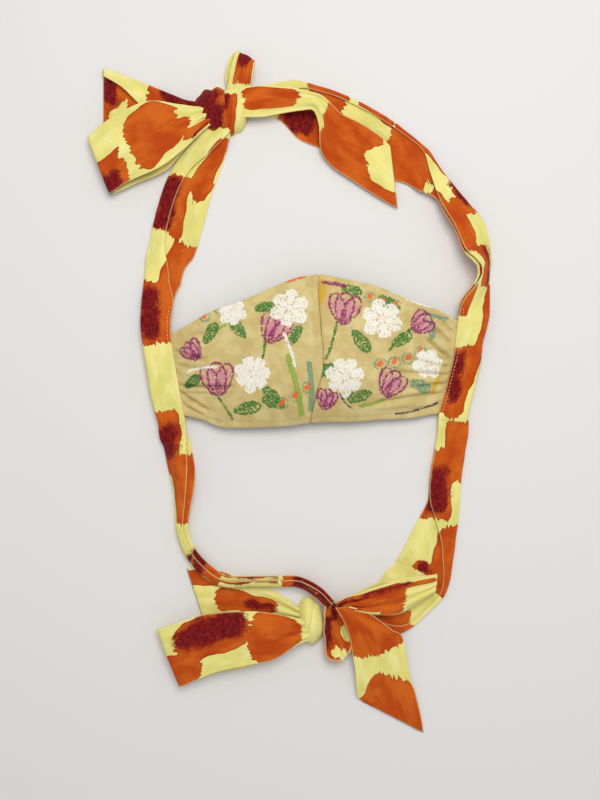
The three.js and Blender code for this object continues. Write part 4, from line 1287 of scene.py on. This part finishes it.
def left_motifs():
    strokes = tulip(-72, -36, 25, 96) + tulip(-34, 4, 23, 66) + tulip(-88, -8, 16, 130)
    strokes += [("green", bend(-62, -54, 20, 118, 10), 0.9), ("green", bend(-42, -24, 30, 74, 10), 0.9)]
    strokes += blossom(-18, 30, 15, 6, 20) + blossom(-46, -20, 14, 7, 5) + blossom(-62, 28, 11, 6, 44)
    for x, y, length, width, turn in LEFT_LEAVES:
        strokes += leaf(x, y, length, width, turn)
    strokes += seeds(-34, -46, 34, 18, 20, 3, 2.2) + seeds(-92, 16, 24, 48, -20, 2, 1.9)
    strokes += [("lime", bend(-9, -50, 44, 96, 14), 2.2), ("sage", bend(-2, -46, 34, 84, 16), 2.0)]
    strokes += [("white", bend(-96, -18, 22, 24, -30), 0.8), ("white", bend(-14, -14, 26, 100, 16), 0.8)]
    for x, y, turn, ink, half in (
        (-92, 22, 32, "ochre", 1.6), (-74, 33, 28, "coral", 1.2), (-52, 42, 22, "ochre", 1.9),
        (-36, 47, 20, "sage", 1.3), (-20, 51, 12, "coral", 1.1), (-80, 12, 20, "lime", 1.2),
    ):
        strokes.append((ink, bend(x, y, 14, turn, 8), half))
    return strokes


def right_motifs():
    strokes = blossom(24, -22, 15, 7, 12) + blossom(52, 22, 16, 6, 40)
    strokes += blossom(88, -12, 12, 6, 8, "white", "ochre")
    strokes += tulip(22, 18, 24, 82) + tulip(54, -36, 21, 60) + tulip(76, 14, 18, 36) + tulip(8, -46, 15, 74)
    strokes += [("green", bend(10, -8, 28, 68, 12), 0.9), ("green", bend(58, -2, 24, 52, -14), 0.9)]
    for x, y, length, width, turn in RIGHT_LEAVES:
        strokes += leaf(x, y, length, width, turn, "sage" if x > 70 else "green")
    strokes += seeds(40, -12, 44, -8, 40, 4, 2.3) + seeds(34, 42, 30, -22, 10, 3, 2.0)
    strokes += [("navy", bend(64, -50, 34, 4, 22), 0.7), ("navy", bend(30, -46, 16, 150, -40), 0.6)]
    strokes += [("ochre", bend(6, 36, 14, 76, 20), 2.4), ("lime", bend(36, -44, 18, 8, 12), 1.4)]
    strokes += [("sage", bend(84, 28, 20, -24, 20), 1.4), ("magenta", bend(8, 50, 16, -4, -10), 1.3)]
    strokes += [("white", bend(72, 38, 20, -22, 10), 1.0), ("ochre", bend(92, -34, 12, 70, 0), 1.6)]
    return strokes


def inks(grid, strokes):
    """The distance in mm from each point of a panel to each ink's strokes, seen in plan."""
    points = grid[..., :2].reshape(-1, 2)
    fields = {ink: np.full(len(points), INK_FAR) for ink in INKS}
    for ink, line, half in strokes:
        line = np.array(line)
        low_corner, high_corner = line.min(0) - INK_FAR - half, line.max(0) + INK_FAR + half
        near = np.all((points > low_corner) & (points < high_corner), axis=1)
        if not near.any():
            continue
        spot = points[near]
        best = np.full(len(spot), np.inf)
        for a, b in zip(line[:-1], line[1:]):
            run = b - a
            t = np.clip(((spot - a) @ run) / max(run @ run, 1e-9), 0, 1)
            best = np.minimum(best, np.linalg.norm(spot - a - t[:, None] * run, axis=1))
        fields[ink][near] = np.minimum(fields[ink][near], best - half)
    return {ink: value.reshape(grid.shape[:2]) for ink, value in fields.items()}


# %% The body's material
INK_COLORS = {
    "ochre": (210, 166, 48), "sage": (122, 152, 116), "lime": (142, 168, 66), "green": (50, 116, 44),
    "pink": (204, 132, 150), "coral": (222, 104, 54), "magenta": (140, 34, 96), "white": (242, 240, 230),
    "navy": (40, 44, 82),
}
TANS = srgb(200, 178, 116), srgb(216, 198, 138)


def make_mask_print():
    t = Tree("crayon_print_cotton")
    tone = t.step(t.noise(14, detail=4.0, rough=0.6), -0.3, 0.4)
    color = t.mix(tone, *TANS)
    # crayon skips the low threads, so its edge is rough and holes show the ground
    rough = t.times(t.noise(1.7, detail=3.0, rough=0.75), 1.7)
    wax = t.times(t.noise(5), 0.8, rough)
    holes = t.step(t.noise(1.4, detail=3.0, rough=0.7, offset=4.4), -0.5, 0.1)
    for ink in INKS:
        cover = t.times(t.step(t.plus(t.field(ink), wax), 0.4, -0.3), t.times(holes, 0.6, 0.38))
        color = t.mix(cover, color, srgb(*INK_COLORS[ink]))
    t.cotton(color)
    return t.material


mask_print = make_mask_print()
print("made", mask_print.name)

# %% Make the panels
left_panel = panel_cloth(
    "mask_left", "mask_panel_left", LEFT_PANEL, LEFT_STRIP, -1, LEFT_CREASES, left_motifs(), 51
)
right_panel = panel_cloth(
    "mask_right", "mask_panel_right", RIGHT_PANEL, RIGHT_STRIP, 1, RIGHT_CREASES, right_motifs(), 52
)

# %% [markdown]
# ## Stitches
# A lockstitch shows as short raised threads in a row. They repeat along a line, so Geometry Nodes
# makes them: the line is resampled at the stitch's pitch, and one small thread is set on each point,
# turned along the line and upright on the cloth. One tree serves every line.

# %% The stitch tree
STITCH_PITCH = 2.6  # mm from one stitch to the next
STITCH_LENGTH = 1.9
THREAD = 0.42  # the thread's diameter


def make_stitch_tree():
    tree = bpy.data.node_groups.new("stitches", "GeometryNodeTree")
    sockets = tree.interface
    sockets.new_socket("Line", in_out="INPUT", socket_type="NodeSocketGeometry")
    for name in ("Pitch", "Length", "Thread"):
        sockets.new_socket(name, in_out="INPUT", socket_type="NodeSocketFloat")
    sockets.new_socket("Material", in_out="INPUT", socket_type="NodeSocketMaterial")
    sockets.new_socket("Stitches", in_out="OUTPUT", socket_type="NodeSocketGeometry")
    add = tree.nodes.new
    given, out = add("NodeGroupInput"), add("NodeGroupOutput")
    curve, even = add("GeometryNodeMeshToCurve"), add("GeometryNodeResampleCurve")
    even.mode = "LENGTH"
    thread = add("GeometryNodeMeshUVSphere")
    for name, value in (("Segments", 8), ("Rings", 6), ("Radius", 0.5)):
        thread.inputs[name].default_value = value
    size, shape = add("ShaderNodeCombineXYZ"), add("GeometryNodeTransform")
    place, tangent = add("GeometryNodeInstanceOnPoints"), add("GeometryNodeInputTangent")
    up = add("GeometryNodeInputNamedAttribute")
    up.data_type = "FLOAT_VECTOR"
    up.inputs["Name"].default_value = "upright"
    first, second = add("FunctionNodeAlignRotationToVector"), add("FunctionNodeAlignRotationToVector")
    first.axis, second.axis, second.pivot_axis = "X", "Z", "X"
    real, dress = add("GeometryNodeRealizeInstances"), add("GeometryNodeSetMaterial")
    for source, output, target, socket in (
        (given, "Line", curve, "Mesh"),
        (curve, "Curve", even, "Curve"),
        (given, "Pitch", even, "Length"),
        (given, "Length", size, "X"),
        (given, "Thread", size, "Y"),
        (given, "Thread", size, "Z"),
        (thread, "Mesh", shape, "Geometry"),
        (size, "Vector", shape, "Scale"),
        (even, "Curve", place, "Points"),
        (shape, "Geometry", place, "Instance"),
        (tangent, "Tangent", first, "Vector"),
        (first, "Rotation", second, "Rotation"),
        (up, "Attribute", second, "Vector"),
        (second, "Rotation", place, "Rotation"),
        (place, "Instances", real, "Geometry"),
        (real, "Geometry", dress, "Geometry"),
        (given, "Material", dress, "Material"),
        (dress, "Geometry", out, "Stitches"),
    ):
        tree.links.new(source.outputs[output], target.inputs[socket])
    return tree


stitch_tree = make_stitch_tree()
print("the stitch tree has", len(stitch_tree.nodes), "nodes")

# %% The threads' material
THREAD_GRAIN = 900  # noise waves in a metre
THREAD_SHADE = 24  # how much darker its dim stretches are, out of 255


def make_thread(name, color):
    t = Tree(name)
    place = t.add("ShaderNodeTexCoord", {}).outputs["Object"]
    noise = t.add("ShaderNodeTexNoise", {"Vector": place, "Scale": THREAD_GRAIN}).outputs["Fac"]
    shade = t.mix(noise, srgb(*[c - THREAD_SHADE for c in color]), srgb(*color))
    t.put(t.shader, {"Base Color": shade, "Roughness": 0.6})
    return t.material


tan_thread = make_thread("tan_thread", (224, 208, 160))
yellow_thread = make_thread("yellow_thread", (240, 230, 150))
print("made", tan_thread.name, "and", yellow_thread.name)


# %% Lines on the cloth
SINK = 0.12  # mm that a stitch lies in the cloth


def line_at(grid, distance, wanted):
    """Points of a grid where the distance down each column passes the wanted value, and their normals."""
    normal = grid_normals(grid)
    normal = normal * np.sign(normal[..., 2:] + 1e-6)
    surface = grid + normal * (CLOTH / 2 - SINK)
    points, ups = [], []
    for j in range(grid.shape[1]):
        order = np.argsort(distance[:, j])
        at = np.interp(wanted, distance[order, j], order.astype(float))
        i, t = int(at), at - int(at)
        k = min(i + 1, len(order) - 1)
        points.append(surface[i, j] * (1 - t) + surface[k, j] * t)
        ups.append(normal[i, j])
    return np.array(points), np.array(ups)


def stitch_line(name, points, ups, material):
    """A row of stitches along points in mm, upright along ups, as a plain mesh."""
    mesh = bpy.data.meshes.new(name + "_line")
    pairs = [(i, i + 1) for i in range(len(points) - 1)]
    mesh.from_pydata(((points + SHIFT) * METRES).tolist(), pairs, [])
    upright = mesh.attributes.new("upright", "FLOAT_VECTOR", "POINT")
    upright.data.foreach_set("vector", ups.reshape(-1).astype(np.float32))
    line = bpy.data.objects.new(name + "_line", mesh)
    bpy.context.scene.collection.objects.link(line)
    modifier = line.modifiers.new("stitches", "NODES")
    modifier.node_group = stitch_tree
    values = {"Pitch": STITCH_PITCH * METRES, "Length": STITCH_LENGTH * METRES, "Thread": THREAD * METRES}
    values["Material"] = material
    for item in stitch_tree.interface.items_tree:
        if item.in_out == "INPUT" and item.name in values:
            modifier[item.identifier] = values[item.name]
    made = bpy.data.meshes.new_from_object(line.evaluated_get(bpy.context.evaluated_depsgraph_get()))
    bpy.data.objects.remove(line)
    obj = bpy.data.objects.new(name, made)
    bpy.context.scene.collection.objects.link(obj)
    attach(obj, "root")
    print(name, "has", len(made.polygons), "faces")


# %% Make the stitches
SEAM_CLEAR = 8  # columns beside the strip that stay without stitches
SIDE_MIDDLE = -0.3  # the middle of the strip's stitches, in half heights of the mask
SIDE_REACH = 0.85  # and how far they run up and down from it
for side, grid in (("left", left_panel), ("right", right_panel)):
    inner = grid[:, SEAM_CLEAR:-2]
    from_chin = np.abs(inner[..., 1] - inner[:1, :, 1])
    from_top = np.abs(inner[-1:, :, 1] - inner[..., 1])
    stitch_line("chin_stitches_" + side, *line_at(inner, from_chin, CHIN_STITCH), tan_thread)
    stitch_line("top_stitches_" + side, *line_at(inner, from_top, CHIN_STITCH), tan_thread)
for side, grid, edge in (("left", left_grid, left_edge), ("right", right_grid, right_edge)):
    beside = np.abs(grid[:, -1, 1] - MASK_HALF_HEIGHT * SIDE_MIDDLE) < MASK_HALF_HEIGHT * SIDE_REACH
    leaf_columns = slice(-len(LEAF_STEPS), None)
    rows = np.transpose(grid[beside, leaf_columns], (1, 0, 2))
    points, ups = line_at(rows, edge[beside, leaf_columns].T, STITCH_INSET)
    stitch_line("strip_stitches_" + side, points, ups, yellow_thread)

# %% [markdown]
# ## Floor, light and camera
# The photograph looks straight down on a pale table in soft light from the upper right, so the shadows
# are wide and faint and fall to the lower left. One big area light and a bright, even world do that.

# %% The table
FLOOR_SIZE = 3.0  # metres


def make_floor():
    mesh = bpy.data.meshes.new("table")
    r = FLOOR_SIZE / 2
    mesh.from_pydata([(-r, -r, 0), (r, -r, 0), (r, r, 0), (-r, r, 0)], [], [(0, 1, 2, 3)])
    obj = bpy.data.objects.new("table", mesh)
    bpy.context.scene.collection.objects.link(obj)
    material = bpy.data.materials.new("pale_table")
    material.use_nodes = True
    shader = material.node_tree.nodes["Principled BSDF"]
    shader.inputs["Base Color"].default_value = srgb(228, 226, 224)
    shader.inputs["Roughness"].default_value = 0.7
    shader.inputs["Specular IOR Level"].default_value = 0.2
    mesh.materials.append(material)


make_floor()
print("made a table of", FLOOR_SIZE, "metres")

# %% Lights
ROOM_LIGHT = 0.57
WINDOW_PLACE = (0.16, 0.44, 1.1)  # metres
WINDOW_SIZE = 0.8
WINDOW_POWER = 8.2  # watts
scene = bpy.context.scene
scene.view_settings.view_transform = "Standard"
world = bpy.data.worlds.new("even_room")
world.use_nodes = True
background = world.node_tree.nodes["Background"]
background.inputs["Color"].default_value = srgb(250, 250, 252)
background.inputs["Strength"].default_value = ROOM_LIGHT
scene.world = world


def area_light(name, place, size, power, color):
    """A round light in metres and watts that looks at the origin."""
    data = bpy.data.lights.new(name, "AREA")
    data.shape = "DISK"
    data.size = size
    data.energy = power
    data.color = color
    obj = bpy.data.objects.new(name, data)
    obj.location = place
    direction = -np.array(place)
    yaw = math.atan2(direction[0], direction[1])
    pitch = math.atan2(math.hypot(direction[0], direction[1]), -direction[2])
    obj.rotation_euler = (pitch, 0, -yaw)
    scene.collection.objects.link(obj)


area_light("window", WINDOW_PLACE, WINDOW_SIZE, WINDOW_POWER, (1.0, 0.985, 0.955))
print("one window of", WINDOW_SIZE, "metres lights the table")

# %% Camera, as the photograph looks
FRAME_MM = 624.0  # what the frame's long side shows on the table
LENS = 50.0
SENSOR = 36.0
LOOK_AT = (8.2, -5.9)  # the frame's middle in the part's own mm
camera_data = bpy.data.cameras.new("camera")
camera_data.lens = LENS
camera_data.sensor_width = SENSOR
camera = bpy.data.objects.new("camera", camera_data)
camera_height = FRAME_MM * LENS / SENSOR
camera.location = (LOOK_AT[0] * METRES, LOOK_AT[1] * METRES, camera_height * METRES)
scene.collection.objects.link(camera)
scene.camera = camera
print("the camera looks down from", round(camera_height), "mm")
